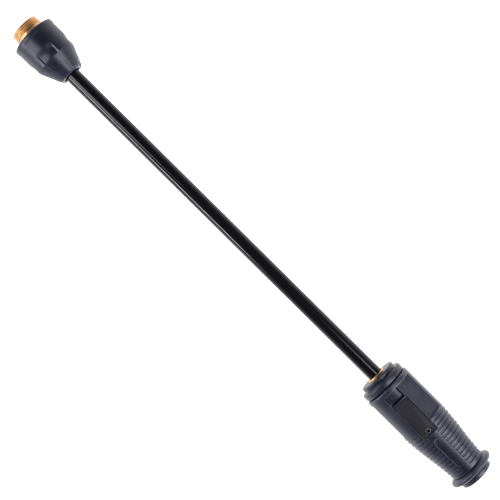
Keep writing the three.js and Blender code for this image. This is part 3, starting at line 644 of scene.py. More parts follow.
def o_ring(name: str, x: float, bore: float, wire: float) -> Piece:
    """Turns an O-ring.

    Args:
        name: The object's name.
        x: The place of its middle along the lance.
        bore: The radius of its bore.
        wire: Its thickness.

    Returns:
        The object.
    """
    turning = Turned(sectors=((360.0, 72),))
    half = wire / 2
    steps = [math.tau * i / 20 for i in range(20)]
    points = [Vector((x + half * math.cos(a), bore + half + half * math.sin(a))) for a in steps]
    turning.spin(points, closed=True)
    return turning.finish(name)


def hexagon_radius(angle: float, flat: float) -> float:
    """Returns the radius of a hexagon with its flats level, at an angle in degrees from straight up."""
    return flat / math.cos(math.radians((angle + 30.0) % 60.0 - 30.0))


# ---- Coupling ----


@dataclass
class Coupling:
    """The brass nut with its male thread, and the grip collar moulded round its hexagon."""

    wardrobe: Wardrobe
    thread_root: float = 10.05
    thread_depth: float = 0.85
    thread_pitch: float = 1.5
    thread_start: float = 0.3
    thread_length: float = 6.1
    thread_runout: float = 0.9
    thread_flank: tuple[float, float] = (0.94, 0.1)
    lead_in: float = 0.45
    lead_drop: float = 0.55
    ring_start: float = 6.8
    ring_radius: float = 11.1
    hex_start: float = 9.4
    hex_flat: float = 11.4
    back_wall: float = 6.0
    socket: float = 7.2
    socket_chamfer: float = 0.6
    back_bore: float = 5.8
    rim_length: float = 3.0
    rim_radius: float = 16.8
    rim_drop: float = 1.9
    rim_step: float = 0.9
    barrel_radius: float = 16.5
    barrel_length: float = 19.9
    tail_radius: float = 10.1
    tail_hole: float = 7.0
    tail_wall: float = 4.8
    tail_land: float = 1.2
    tail_drop: float = 1.1
    panels: int = 4
    panel_deg: float = 48.0
    panel_depth: float = 1.0
    panel_side_deg: float = 0.9
    panel_ease: tuple[float, float] = (13.0, 19.0)
    panel_mesh: tuple[float, float] = (6.0, 0.55)
    pocket_clearance: float = 0.2
    pocket_gap: float = 0.3

    def __post_init__(self) -> None:
        """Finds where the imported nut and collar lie."""
        self.nut_reach = extent("coupling_nut")
        self.collar_reach = extent("coupling_collar")

    def build(self) -> None:
        """Builds the nut and the collar."""
        self.wardrobe.add(self.nut(), "coupling_nut", Slot.BRASS)
        self.wardrobe.add(self.collar(), "coupling_collar", Slot.COLLAR_PLASTIC)

    def nut(self) -> Piece:
        """Builds the nut.

        Returns:
            The object.
        """
        start, end = self.nut_reach
        root, ring = self.thread_root, self.ring_radius
        outside = rounded([
            (start, root - self.lead_drop),
            (start + self.lead_in, root, 0.2),
            (start + self.ring_start, root, 0.15),
            (start + self.ring_start, ring, 0.3),
            (start + self.hex_start, ring, 0.1),
            (start + self.hex_start, self.hex_flat),
            (end, self.hex_flat),
        ])
        inside = rounded([
            (end, self.back_bore),
            (end - self.back_wall, self.back_bore, 0.3),
            (end - self.back_wall, self.socket, 0.2),
            (start + self.socket_chamfer, self.socket, 0.15),
            (start, self.socket + self.socket_chamfer),
        ])
        turning = Turned(sectors=((360.0, 144),))
        thread = stations(start, start + self.ring_start, self.thread_pitch / 12)
        turning.spin(with_stations(outside, thread), relief=self.nut_relief)
        turning.spin(inside)
        turning.close_ends()
        return turning.finish("threaded_nut")

    def nut_relief(self, x: float, angle: float, radius: float) -> float:
        """Adds the helical thread and, further back, the hexagon.

        Args:
            x: Place along the lance.
            angle: Degrees from straight up.
            radius: The turned radius.

        Returns:
            The nut's radius there.
        """
        along = x - self.nut_reach.start
        if along >= self.hex_start:
            return hexagon_radius(angle, self.hex_flat)
        turn = (along / self.thread_pitch + angle / 360.0) % 1.0
        crest = smooth(abs(turn - 0.5) * 2, *self.thread_flank)
        length = between(along, self.thread_start, self.thread_length, self.thread_runout)
        return radius + self.thread_depth * crest * length

    def collar(self) -> Piece:
        """Builds the grip collar.

        Returns:
            The object.
        """
        start, end = self.collar_reach
        rim, barrel = self.rim_radius, self.barrel_radius
        cone = start + self.rim_length + self.barrel_length
        pocket, flat = self.pocket()
        outside = rounded([
            (start, rim - self.rim_drop),
            (start, rim, 1.5),
            (start + self.rim_length, rim, 0.8),
            (start + self.rim_length + self.rim_step, barrel, 0.7),
            (cone, barrel, 1.2),
            (end - self.tail_land, self.tail_radius, 0.9),
            (end, self.tail_radius - self.tail_drop),
        ])
        inside = rounded([
            (end, self.tail_hole),
            (end - self.tail_wall, self.tail_hole, 0.5),
            (pocket, self.ring_radius, 0.2),
            (pocket, flat),
            (start, flat),
        ])
        turning = Turned(sectors=((360.0, 240),))
        fine = stations(start + self.panel_mesh[0], end, self.panel_mesh[1])
        turning.spin(with_stations(outside, fine), relief=self.panel_relief)
        turning.spin(inside, relief=self.pocket_relief)
        turning.close_ends()
        return turning.finish("grip_collar")

    def pocket(self) -> tuple[float, float]:
        """Returns where the hexagon pocket in the collar ends, and half its width across flats."""
        return self.nut_reach.end + self.pocket_gap, self.hex_flat + self.pocket_clearance

    def panel_relief(self, x: float, angle: float, radius: float) -> float:
        """Sinks the panels, which ease in along the barrel and have crisp sides.

        Args:
            x: Place along the lance.
            angle: Degrees from straight up.
            radius: The turned radius.

        Returns:
            The collar's outer radius there.
        """
        pitch = 360.0 / self.panels
        half = self.panel_deg / 2
        along = x - self.collar_reach.start
        off = abs((angle + pitch / 2) % pitch - pitch / 2)
        inside = smooth(off, half + self.panel_side_deg, half - self.panel_side_deg)
        return radius - self.panel_depth * smooth(along, *self.panel_ease) * inside

    def pocket_relief(self, x: float, angle: float, radius: float) -> float:
        """Makes the front of the bore a hexagon.

        Args:
            x: Place along the lance.
            angle: Degrees from straight up.
            radius: The turned radius.

        Returns:
            The radius of the bore there.
        """
        pocket, flat = self.pocket()
        in_pocket = x < pocket - MERGE or abs(radius - flat) < MERGE
        return hexagon_radius(angle, flat) if in_pocket else radius


# ---- Shaft ----


@dataclass
class Shaft:
    """The coated tube, and the nipple, O-ring and washer on its coupling end."""

    wardrobe: Wardrobe
    tube_radius: float = 5.5
    tube_bore: float = 3.6
    nipple_radius: float = 6.2
    flange_radius: float = 6.9
    flange_length: float = 6.0
    flange_bore: float = 5.7
    seal_setback: float = 2.8
    seal_wire: float = 1.6
    groove_floor: float = 4.7
    groove_clearance: float = 0.15
    flange_wall: float = 0.3
    tube_mesh: float = 6.0

    def build(self) -> None:
        """Builds the tube and what is on its end."""
        self.wardrobe.add(self.tube(), "lance_tube", Slot.COATED_STEEL)
        self.wardrobe.add(self.nipple(), "tube_nipple", Slot.BRASS)
        middle = extent("tube_nipple").start + self.seal_setback
        seal = o_ring("nipple_o_ring", middle, self.groove_floor + 0.1, self.seal_wire)
        self.wardrobe.add(seal, "nipple_seal", Slot.SEAL)
        self.wardrobe.add(self.washer(), "swivel_washer", Slot.SLIP_PLASTIC)

    def tube(self) -> Piece:
        """Builds the tube.

        Returns:
            The object.
        """
        reach = extent("lance_tube")
        turning = Turned()
        wall = rounded([
            (reach.start, self.tube_bore, 0.2),
            (reach.start, self.tube_radius, 0.4),
            (reach.end, self.tube_radius, 0.4),
            (reach.end, self.tube_bore, 0.2),
        ], closed=True)
        rings = stations(reach.start + 1, reach.end - 1, self.tube_mesh)
        turning.spin(with_stations(wall, rings), closed=True)
        return turning.finish("coated_tube")

    def nipple(self) -> Piece:
        """Builds the sealing nipple.

        Returns:
            The object.
        """
        reach = extent("tube_nipple")
        start, end = reach.start, reach.end
        flange = end - self.flange_length
        middle = start + self.seal_setback
        half = self.seal_wire / 2 + self.groove_clearance
        return turned_ring("sealing_nipple", [
            (start, self.tube_bore, 0.3),
            (start, self.nipple_radius, 0.6),
            (middle - half, self.nipple_radius, 0.15),
            (middle - half, self.groove_floor, 0.2),
            (middle + half, self.groove_floor, 0.2),
            (middle + half, self.nipple_radius, 0.15),
            (flange, self.nipple_radius, 0.2),
            (flange, self.flange_radius, 0.2),
            (end, self.flange_radius, 0.3),
            (end, self.flange_bore, 0.1),
            (flange + self.flange_wall, self.flange_bore, 0.1),
            (flange + self.flange_wall, self.tube_bore, 0.1),
        ])

    def washer(self) -> Piece:
        """Builds the thrust washer.

        Returns:
            The object.
        """
        reach = extent("swivel_washer")
        inner, outer = self.flange_bore, self.flange_radius
        return turned_ring("thrust_washer", [
            (reach.start, inner, 0.15),
            (reach.start, outer, 0.15),
            (reach.end, outer, 0.15),
            (reach.end, inner, 0.15),
        ])


# ---- Head: fixed pieces ----


@dataclass
class HeadBase:
    """The brass stem on the tube's end and the rear collar with its guide barrel."""

    wardrobe: Wardrobe
    ring_radius: float = 7.3
    ring_end: float = 15.7
    stem_radius: float = 6.0
    spigot_radius: float = 4.4
    spigot_length: float = 6.3
    bore: float = 2.6
    tube_bore: float = 3.6
    bore_step: float = 1.0
    seal_groove: float = 1.5
    clip_groove: float = 0.7
    clearance: float = 0.2
    socket_bore: float = 5.7
    socket_depth: float = 14.8
    lip_radius: float = 14.0
    lip_length: float = 2.5
    groove_radius: float = 12.8
    groove_end: float = 3.8
    collar_radius: float = 17.0
    collar_end: float = 9.1
    barrel_radius: float = 11.9
    barrel_bore: float = 9.3
    neck_radius: float = 10.9
    neck_start: float = 15.9
    neck_end: float = 27.4
    web_start: float = 16.0
    web_end: float = 18.5
    slot_start: float = 26.8
    slot_half: float = 1.6
    slot_wall: float = 0.35

    def __post_init__(self) -> None:
        """Finds where the head starts."""
        self.back = extent("rear_collar").start

    def build(self) -> None:
        """Builds the stem and the rear collar, and dresses what they hide."""
        self.wardrobe.add(self.stem(), "head_stem", Slot.BRASS)
        self.wardrobe.add(self.collar(), "rear_collar", Slot.HEAD_PLASTIC)
        self.wardrobe.dress(Slot.SEAL, "stem_seal_rear", "stem_seal_front")
        self.wardrobe.dress(Slot.STEEL, "stem_clip")
        self.wardrobe.dress(Slot.BRASS, "stem_nut")

    def stem(self) -> Piece:
        """Builds the stem, whose ring shows behind the rear collar.

        Returns:
            The object.
        """
        reach = extent("head_stem")
        back = self.back
        shoulder = reach.end - self.spigot_length
        socket_end = back + self.socket_depth
        corners = [
            (reach.start, self.socket_bore, 0.15),
            (reach.start, self.ring_radius, 0.3),
            (back + self.ring_end, self.ring_radius, 0.2),
            (back + self.ring_end, self.stem_radius, 0.1),
        ]
        for node in ("stem_clip", "stem_seal_rear", "stem_seal_front"):
            ring = extent(node)
            floor = self.stem_radius - (self.clip_groove if node == "stem_clip" else self.seal_groove)
            first, last = ring.start - self.clearance, ring.end + self.clearance
            corners += [
                (first, self.stem_radius, 0.05),
                (first, floor),
                (last, floor),
                (last, self.stem_radius, 0.05),
            ]
        corners += [
            (shoulder, self.stem_radius, 0.2),
            (shoulder, self.spigot_radius, 0.1),
            (reach.end, self.spigot_radius, 0.4),
            (reach.end, self.bore, 0.1),
            (back + self.web_end, self.bore, 0.2),
            (back + self.web_end - self.bore_step, self.tube_bore, 0.2),
            (socket_end, self.tube_bore, 0.1),
            (socket_end, self.socket_bore, 0.1),
        ]
        return turned_ring("brass_stem", corners)

    def collar(self) -> Piece:
        """Builds the rear collar: a lip, a groove, a ring and the guide barrel inside the sleeve.

        Returns:
            The object.
        """
        back, end = extent("rear_collar")
        stem_hole = self.ring_radius + self.clearance
        stem_bore = self.stem_radius + self.clearance
        outside = rounded([
            (back, stem_hole + 0.3),
            (back, self.lip_radius, 0.9),
            (back + self.lip_length, self.lip_radius, 0.5),
            (back + self.lip_length + 0.1, self.groove_radius, 0.2),
            (back + self.groove_end, self.groove_radius, 0.2),
            (back + self.groove_end, self.collar_radius, 1.3),
            (back + self.collar_end, self.collar_radius, 1.3),
            (back + self.collar_end, self.barrel_radius, 0.3),
            (back + self.neck_start, self.barrel_radius, 0.2),
            (back + self.neck_start, self.neck_radius, 0.2),
            (back + self.neck_end, self.neck_radius, 0.2),
            (back + self.neck_end, self.barrel_radius, 0.2),
            (end, self.barrel_radius, 0.5),
            (end, self.barrel_bore + 0.3),
        ])
        inside = rounded([
            (end, self.barrel_bore),
            (back + self.web_end, self.barrel_bore, 0.4),
            (back + self.web_end, stem_bore, 0.1),
            (back + self.web_start, stem_bore, 0.1),
            (back + self.web_start, stem_hole, 0.1),
            (back, stem_hole),
        ])
        turning = Turned(sectors=((360.0, 180),))
        turning.spin(outside)
        slot = stations(back + self.slot_start, end, 1.0)
        turning.spin(with_stations(inside, slot), relief=self.slot_relief)
        turning.close_ends()
        return turning.finish("rear_guide_collar")

    def slot_relief(self, x: float, angle: float, radius: float) -> float:
        """Sinks the keyway under the barrel's bore.

        Args:
            x: Place along the lance.
            angle: Degrees from straight up.
            radius: The turned radius.

        Returns:
            The radius of the bore there.
        """
        off = abs(radius * math.sin(math.radians(angle)))
        deep = abs(angle) > 90 and off < self.slot_half and x > self.back + self.slot_start - MERGE
        in_bore = radius > self.stem_radius + 1
        return self.barrel_radius - self.slot_wall if deep and in_bore else radius


# ---- Head: sleeve ----


@dataclass
class Sleeve:
    """The grip sleeve with its windows, ribs and thumb pad, and the pieces fixed to it."""

    wardrobe: Wardrobe
    radius: float = 17.9
    bore: float = 12.2
    nose_bore: float = 10.1
    nose_radius: float = 11.7
    neck_radius: float = 13.6
    edge: float = 1.1
    taper_start: float = 48.0
    taper_end: float = 89.3
    taper_ease: float = 0.3
    taper_mesh: float = 4.0
    skin_mesh: float = 0.5
    opening_mesh: float = 0.26
    rib_mesh: int = 11
    step: float = 45.0
    end_chamfer: float = 0.3
    mouth_chamfer: float = 0.4
    clip_groove: float = 0.8
    clearance: float = 0.2
    sectors: tuple[tuple[float, int], ...] = ((76.0, 92), (284.0, 158))
    rib_start: float = 47.8
    rib_pitch: float = 3.165
    rib_count: int = 13
    rib_half: float = 0.95
    rib_floor: float = 0.3
    rib_depth: float = 0.75
    rib_clear: float = 14.5
    rib_ramp: tuple[float, float] = (-0.8, 1.4)
    pad_start: float = 56.9
    pad_end: float = 84.2
    pad_half: float = 3.8
    pad_height: float = 0.5
    window_start: float = 13.3
    window_end: float = 44.6
    windows: int = 3
    window_middle: float = 46.15
    window_pitch: float = 110.6
    window_half: float = 24.65
    window_floor: float = 15.6
    window_ramp: float = 3.7
    window_slope: float = 0.17
    window_edge: float = 0.7
    label_start: float = 22.4
    label_end: float = 52.5
    label_half: float = 6.1
    label_gap: float = 0.2
    label_level: float = 16.9
    label_thickness: float = 1.3
    label_seat: float = 0.3
    label_corner: float = 0.8
    label_border: tuple[tuple[float, float], ...] = ((0.14, 0.0), (0.55, 0.0), (0.12, -0.22))
    screw_setback: float = 2.8
    screw_radius: float = 2.0
    screw_shank: float = 0.9
    screw_tip: tuple[float, float] = (0.35, 0.6)
    screw_head: float = 1.2
    screw_socket: tuple[float, float] = (1.4, 0.95)
    screw_sink: float = 0.02
    opening_start: float = 13.1
    opening_end: float = 21.6
    opening_half: float = 6.2
    tongue_half: float = 4.9
    tongue_thickness: float = 2.0
    tongue_mesh: tuple[int, int] = (44, 66)
    tongue_edge: float = 0.22
    tongue_bend: float = 1.2
    dimple_x: float = 16.3
    dimple_depth: float = 1.8
    dimple_rim: tuple[float, float] = (1.5, 1.3)
    catch_size: tuple[float, float, float] = (2.3, 4.0, 5.2)
    catch_foot: float = 11.3
    catch_setback: float = 0.5
    catch_edge: float = 0.25
    flange_radius: float = 17.4
    flange_root: float = 13.7
    flange_round: float = 0.9
    rim_half: float = 1.3
    nose_ring_radius: float = 12.7
    mouth: float = 7.0
    mouth_flare: float = 1.6
    mouth_relief: float = 0.6
    nose_gap: float = 0.6

    def __post_init__(self) -> None:
        """Finds where the head starts."""
        self.back = extent("rear_collar").start

    def build(self) -> None:
        """Builds the sleeve and the pieces on it, and dresses what is inside."""
        self.wardrobe.add(self.sleeve(), "grip_sleeve", Slot.HEAD_PLASTIC)
        self.wardrobe.add(self.label_plate(), "label_plate", Slot.LABEL_PLASTIC)
        self.wardrobe.add(self.screw(), "plate_screw", Slot.STEEL)
        self.wardrobe.add(self.flange(), "hand_flange", Slot.HEAD_PLASTIC)
        self.wardrobe.add(self.nose_ring(), "nose_ring", Slot.HEAD_PLASTIC)
        self.wardrobe.dress(Slot.STEEL, "sleeve_clip")
        self.wardrobe.dress(Slot.GUIDE_PLASTIC, "cam_ring")
        self.tongue()

    def taper_radius(self, along: float) -> float:
        """Gives the sleeve's radius along its taper, which is eased at both ends.

        Args:
            along: Distance from the start of the head.

        Returns:
            The radius.
        """
        share = min(max((along - self.taper_start) / (self.taper_end - self.taper_start), 0.0), 1.0)
        eased = share - self.taper_ease * math.sin(math.tau * share) / math.tau
        return self.radius - (self.radius - self.neck_radius) * eased

    def sleeve(self) -> Piece:
        """Builds the grip sleeve.

        Returns:
            The object.
        """
        back = self.back
        reach = extent("grip_sleeve")
        corners = [(reach.start, self.bore + self.mouth_chamfer), (reach.start, self.radius, self.edge)]
        taper = stations(self.taper_start, self.taper_end, self.taper_mesh)
        corners += [(back + x, self.taper_radius(x)) for x in taper]
        corners += [
            (back + self.taper_end, self.nose_radius, 0.2),
            (reach.end, self.nose_radius, 0.2),
            (reach.end, self.nose_bore + self.end_chamfer),
        ]
        slot_start, slot_end = back + self.opening_start - 0.3, back + self.opening_end + 0.3
        ribs = back + self.rib_start - 2
        slot = stations(slot_start, slot_end, self.opening_mesh)
        grid = slot + stations(reach.start + 1.2, slot_start, self.skin_mesh)
        grid += stations(slot_end, ribs, self.skin_mesh)
        grid += stations(ribs, back + self.taper_end - 0.4, self.rib_pitch / self.rib_mesh)
        clip = extent("sleeve_clip")
        clip_start, clip_end = clip.start - self.clearance, clip.end + self.clearance
        inside = rounded([
            (reach.end, self.nose_bore),
            (back + self.step, self.nose_bore, 0.2),
            (back + self.step, self.bore, 0.1),
            (clip_end, self.bore),
            (clip_end, self.bore + self.clip_groove),
            (clip_start, self.bore + self.clip_groove),
            (clip_start, self.bore),
            (reach.start, self.bore),
        ])
        turning = Turned(sectors=self.sectors, start_deg=self.sectors[0][0] / 2)
        turning.spin(with_stations(rounded(corners), sorted(grid)), relief=self.skin_relief)
        turning.spin(with_stations(inside, slot))
        turning.close_ends()
        open_faces = [f for f in turning.mesh.faces if all(self.in_opening(v.co) for v in f.verts)]
        bmesh.ops.delete(turning.mesh, geom=open_faces, context="FACES")
        return turning.finish("ribbed_sleeve")

    def in_opening(self, place: Vector) -> bool:
        """Says whether a place lies in the tongue's opening.

        Args:
            place: The place about the lance's axis.

        Returns:
            Whether it is inside the opening's outline and outside the bore.
        """
        along = place.x - self.back
        angle = math.degrees(math.atan2(place.y, place.z))
        limit = math.degrees(math.asin(self.opening_half / self.radius))
        inside = self.opening_start + 0.05 < along < self.opening_end - 0.05 and abs(angle) < limit
        return inside and math.hypot(place.y, place.z) > self.nose_bore + 1

    def skin_relief(self, x: float, angle: float, radius: float) -> float:
        """Shapes the outer skin.

        Args:
            x: Place along the lance.
            angle: Degrees from straight up.
            radius: The turned radius.

        Returns:
            The moulded radius.
        """
        along = x - self.back
        if self.in_opening(Vector((x, math.sin(math.radians(angle)) * radius,
                                   math.cos(math.radians(angle)) * radius))):
            return self.bore
        if along > self.taper_end - 0.3 or radius < self.neck_radius - 0.5:
            return radius
        radius -= self.window_depth(along, angle, radius)
        radius -= self.rib_cut(along, angle)
        radius += self.pad_rise(along, angle, radius)
        return self.label_pocket(along, angle, radius)

    def window_depth(self, along: float, angle: float, radius: float) -> float:
        """Gives the depth of the finger recesses: a flat floor that ramps up to its outer edge.

        Args:
            along: Distance from the start of the head.
            angle: Degrees from straight up.
            radius: The radius without them.

        Returns:
            How far to sink the skin.
        """
        middles = [self.window_middle + number * self.window_pitch for number in range(self.windows)]
        turns = [(angle - middle + 180.0) % 360.0 - 180.0 for middle in middles]
        off = math.radians(min(turns, key=abs))
        if abs(off) > math.radians(self.window_half + 1):
            return 0.0
        outward = self.window_floor * math.tan(off)
        ramp = max(0.0, outward - self.window_ramp) * self.window_slope
        floor = (self.window_floor + ramp) / math.cos(off)
        length = between(along, self.window_start, self.window_end, self.window_edge)
        return max(0.0, radius - floor) * length

    def rib_cut(self, along: float, angle: float) -> float:
        """Gives the depth of the grip grooves, which stop short of the top, the label and the bottom.

        Args:
            along: Distance from the start of the head.
            angle: Degrees from straight up.

        Returns:
            How far to sink the skin.
        """
        number = round((along - self.rib_start) / self.rib_pitch)
        if not 0 <= number < self.rib_count:
            return 0.0
        off = abs(along - self.rib_start - number * self.rib_pitch)
        near_label = self.rib_start + number * self.rib_pitch < self.label_end + self.rib_half
        label = math.degrees(math.asin(self.label_half / self.radius)) + 3.0
        top = label if near_label else self.rib_clear
        turn = abs(angle)
        low, high = self.rib_ramp
        across = smooth(turn, top + low, top + high)
        under = smooth(180.0 - turn, self.rib_clear + low, self.rib_clear + high)
        return self.rib_depth * across * under * smooth(off, self.rib_half, self.rib_floor)

    def pad_rise(self, along: float, angle: float, radius: float) -> float:
        """Gives the height of the rounded thumb pad.

        Args:
            along: Distance from the start of the head.
            angle: Degrees from straight up.
            radius: The radius without it.

        Returns:
            How far to raise the skin.
        """
        if abs(angle) > 40:
            return 0.0
        across = radius * math.sin(math.radians(angle))
        nearest = min(max(along, self.pad_start + self.pad_half), self.pad_end - self.pad_half)
        off = math.hypot(along - nearest, across)
        return self.pad_height * smooth(off, self.pad_half + 0.1, self.pad_half - 0.6)

    def label_pocket(self, along: float, angle: float, radius: float) -> float:
        """Cuts the flat pocket for the label plate.

        Args:
            along: Distance from the start of the head.
            angle: Degrees from straight up.
            radius: The radius without it.

        Returns:
            The radius with it.
        """
        across = abs(radius * math.sin(math.radians(angle)))
        half = self.label_half + self.label_gap
        start, end = self.label_start - self.label_gap, self.label_end + self.label_gap
        if abs(angle) > 40 or across > half or not start < along < end:
            return radius
        floor = self.label_level - self.label_thickness - self.label_seat
        return min(radius, floor / math.cos(math.radians(angle)))

    def label_plate(self) -> Piece:
        """Builds the flat plate, with a border round its face and a hole for its screw.

        Returns:
            The object.
        """
        mesh = bmesh.new()
        start, end = self.back + self.label_start, self.back + self.label_end
        bottom = self.label_level - self.label_thickness
        screw = end - self.screw_setback
        half = self.label_half
        corners = [(start, -half), (end, -half), (end, half), (start, half)]
        verts = [mesh.verts.new((x, y, bottom)) for x, y in corners]
        for number in range(4):
            mesh.edges.new((verts[number - 1], verts[number]))
        bmesh.ops.bevel(mesh, geom=verts, offset=self.label_corner, segments=5, profile=0.5,
                        affect="VERTICES", material=-1)
        bmesh.ops.create_circle(mesh, segments=40, radius=self.screw_radius + self.clearance,
                                matrix=Matrix.Translation((screw, 0, bottom)))
        bmesh.ops.triangle_fill(mesh, use_beauty=True, use_dissolve=False, edges=mesh.edges,
                                normal=(0, 0, 1))
        raised = bmesh.ops.extrude_face_region(mesh, geom=mesh.faces[:])
        top = [item for item in raised["geom"] if isinstance(item, bmesh.types.BMVert)]
        bmesh.ops.translate(mesh, verts=top, vec=(0, 0, self.label_thickness))
        bmesh.ops.recalc_face_normals(mesh, faces=mesh.faces)
        faces = [face for face in mesh.faces if face.normal.z > 0.9]
        for width, rise in self.label_border:
            bmesh.ops.inset_region(mesh, faces=faces, thickness=width, depth=rise, use_even_offset=True)
        return finish_mesh(mesh, "blank_label_plate")

    def screw(self) -> Piece:
        """Builds the plate's screw: a round head with a deep hexagon socket, and its shank.

        Returns:
            The object.
        """
        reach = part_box("plate_screw")
        middle = (reach[0].x + reach[1].x) / 2 / MM
        bottom = reach[0].z / MM - axis_height()
        mesh = bmesh.new()
        top = self.label_level
        rim = self.screw_radius - self.screw_sink
        tip, taper = self.screw_tip
        across, deep = self.screw_socket
        levels = [
            (self.screw_radius - 0.3, top - self.screw_sink),
            (rim, top - 0.3),
            (rim, top - self.screw_head),
            (self.screw_shank, top - self.screw_head),
            (self.screw_shank, bottom + taper),
            (tip, bottom),
        ]
        rings = [self.level_ring(mesh, middle, *level, 48) for level in levels]
        socket = [self.level_ring(mesh, middle, across, top - drop, 6) for drop in (self.screw_sink, deep)]
        for first, second in zip(rings, rings[1:]):
            bmesh.ops.bridge_loops(mesh, edges=first + second)
        bmesh.ops.bridge_loops(mesh, edges=rings[0] + socket[0])
        bmesh.ops.bridge_loops(mesh, edges=socket[0] + socket[1])
        bmesh.ops.edgeloop_fill(mesh, edges=socket[1])
        bmesh.ops.edgeloop_fill(mesh, edges=rings[-1])
        return finish_mesh(mesh, "socket_screw")

    def level_ring(self, mesh: BMesh, x: float, radius: float, z: float,
                   sides: int) -> list[bmesh.types.BMEdge]:
        """Adds a level circle.

        Args:
            mesh: The mesh that it goes into.
            x: The place of its centre along the lance.
            radius: Its radius.
            z: Its height over the axis.
            sides: Its number of sides.

        Returns:
            Its edges.
        """
        place = Matrix.Translation((x, 0, z))
        made = bmesh.ops.create_circle(mesh, segments=sides, radius=radius, matrix=place)
        return list({edge for vert in made["verts"] for edge in vert.link_edges})

    def flange(self) -> Piece:
        """Builds the hand flange, which narrows to a rounded rim.

        Returns:
            The object.
        """
        reach = extent("hand_flange")
        inner = self.nose_radius + self.clearance
        middle = (reach.start + reach.end) / 2
        return turned_ring("rounded_flange", [
            (reach.start, inner, 0.1),
            (reach.start, self.flange_root, self.flange_round),
            (middle - self.rim_half, self.flange_radius, self.rim_half),
            (middle + self.rim_half, self.flange_radius, self.rim_half),
            (reach.end, self.flange_root, self.flange_round),
            (reach.end, inner, 0.1),
        ], sides=192)

    def nose_ring(self) -> Piece:
        """Builds the nose ring, whose mouth flares towards its face.

        Returns:
            The object.
        """
        reach = extent("nose_ring")
        face = reach.end
        collar = extent("hand_flange").end + self.nose_gap
        spigot = self.nose_bore - self.clearance
        return turned_ring("flared_nose_ring", [
            (reach.start, self.mouth + self.mouth_relief, 0.1),
            (reach.start, spigot, 0.3),
            (collar, spigot, 0.1),
            (collar, self.nose_ring_radius, 0.25),
            (face, self.nose_ring_radius, 1.3),
            (face, self.mouth + self.mouth_flare, 0.4),
            (collar, self.mouth, 0.8),
        ], sides=160)

    def tongue(self) -> None:
        """Builds the snap tongue."""
        start = self.back + self.opening_start
        end = extent("snap_tongue").end
        mesh = bmesh.new()
        half_length = (end - start) / 2
        across, along = self.tongue_mesh
        grid = bmesh.ops.create_grid(mesh, x_segments=across, y_segments=along, size=1.0)
        bmesh.ops.scale(mesh, verts=grid["verts"], vec=(half_length, self.tongue_half, 1))
        bmesh.ops.translate(mesh, verts=grid["verts"], vec=(start + half_length, 0, 0))
        dimple = self.back + self.dimple_x
        for vert in grid["verts"]:
            vert.co.z = math.sqrt(self.radius ** 2 - vert.co.y ** 2)
            off = math.hypot(vert.co.x - dimple, vert.co.y)
            vert.co.z -= self.dimple_depth * smooth(off, *self.dimple_rim)
        lower = bmesh.ops.extrude_face_region(mesh, geom=mesh.faces[:])
        for vert in (item for item in lower["geom"] if isinstance(item, bmesh.types.BMVert)):
            vert.co.z = math.sqrt((self.radius - self.tongue_thickness) ** 2 - vert.co.y ** 2)
        bmesh.ops.recalc_face_normals(mesh, faces=mesh.faces)
        rim = [edge for edge in mesh.edges if self.is_tip_edge(edge, start)]
        bmesh.ops.bevel(mesh, geom=rim, offset=self.tongue_edge, segments=2, profile=0.5, affect="EDGES",
                        material=-1, clamp_overlap=True)
        catch = bmesh.ops.create_cube(mesh, size=1.0)
        length, _, height = self.catch_size
        middle = (end - self.catch_setback - length / 2, 0, self.catch_foot + height / 2)
        bmesh.ops.scale(mesh, verts=catch["verts"], vec=self.catch_size)
        bmesh.ops.translate(mesh, verts=catch["verts"], vec=middle)
        sides = list({edge for vert in catch["verts"] for edge in vert.link_edges})
        bmesh.ops.bevel(mesh, geom=sides, offset=self.catch_edge, segments=2, profile=0.5,
                        affect="EDGES", material=-1)
        piece = finish_mesh(mesh, "sprung_tongue")
        piece.data.materials.append(self.wardrobe.material(Slot.HEAD_PLASTIC))
        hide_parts("snap_tongue")
        height = (axis_height() + self.radius) * MM
        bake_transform(piece)
        LOG.info("built sprung_tongue for snap_tongue: %d faces", len(piece.data.polygons))

    def is_tip_edge(self, edge: bmesh.types.BMEdge, start: float) -> bool:
        """Says whether an edge of the tongue is to be rounded.

        Args:
            edge: The edge.
            start: The place of the tongue's root along the lance.

        Returns:
            Whether it is a sharp outer edge away from the root.
        """
        if not edge.is_manifold or min(vert.co.x for vert in edge.verts) < start + 0.1:
            return False
        return edge.calc_face_angle(0.0) > math.radians(60) and max(v.co.z for v in edge.verts) > 14.0


# ---- Head: nozzle ----


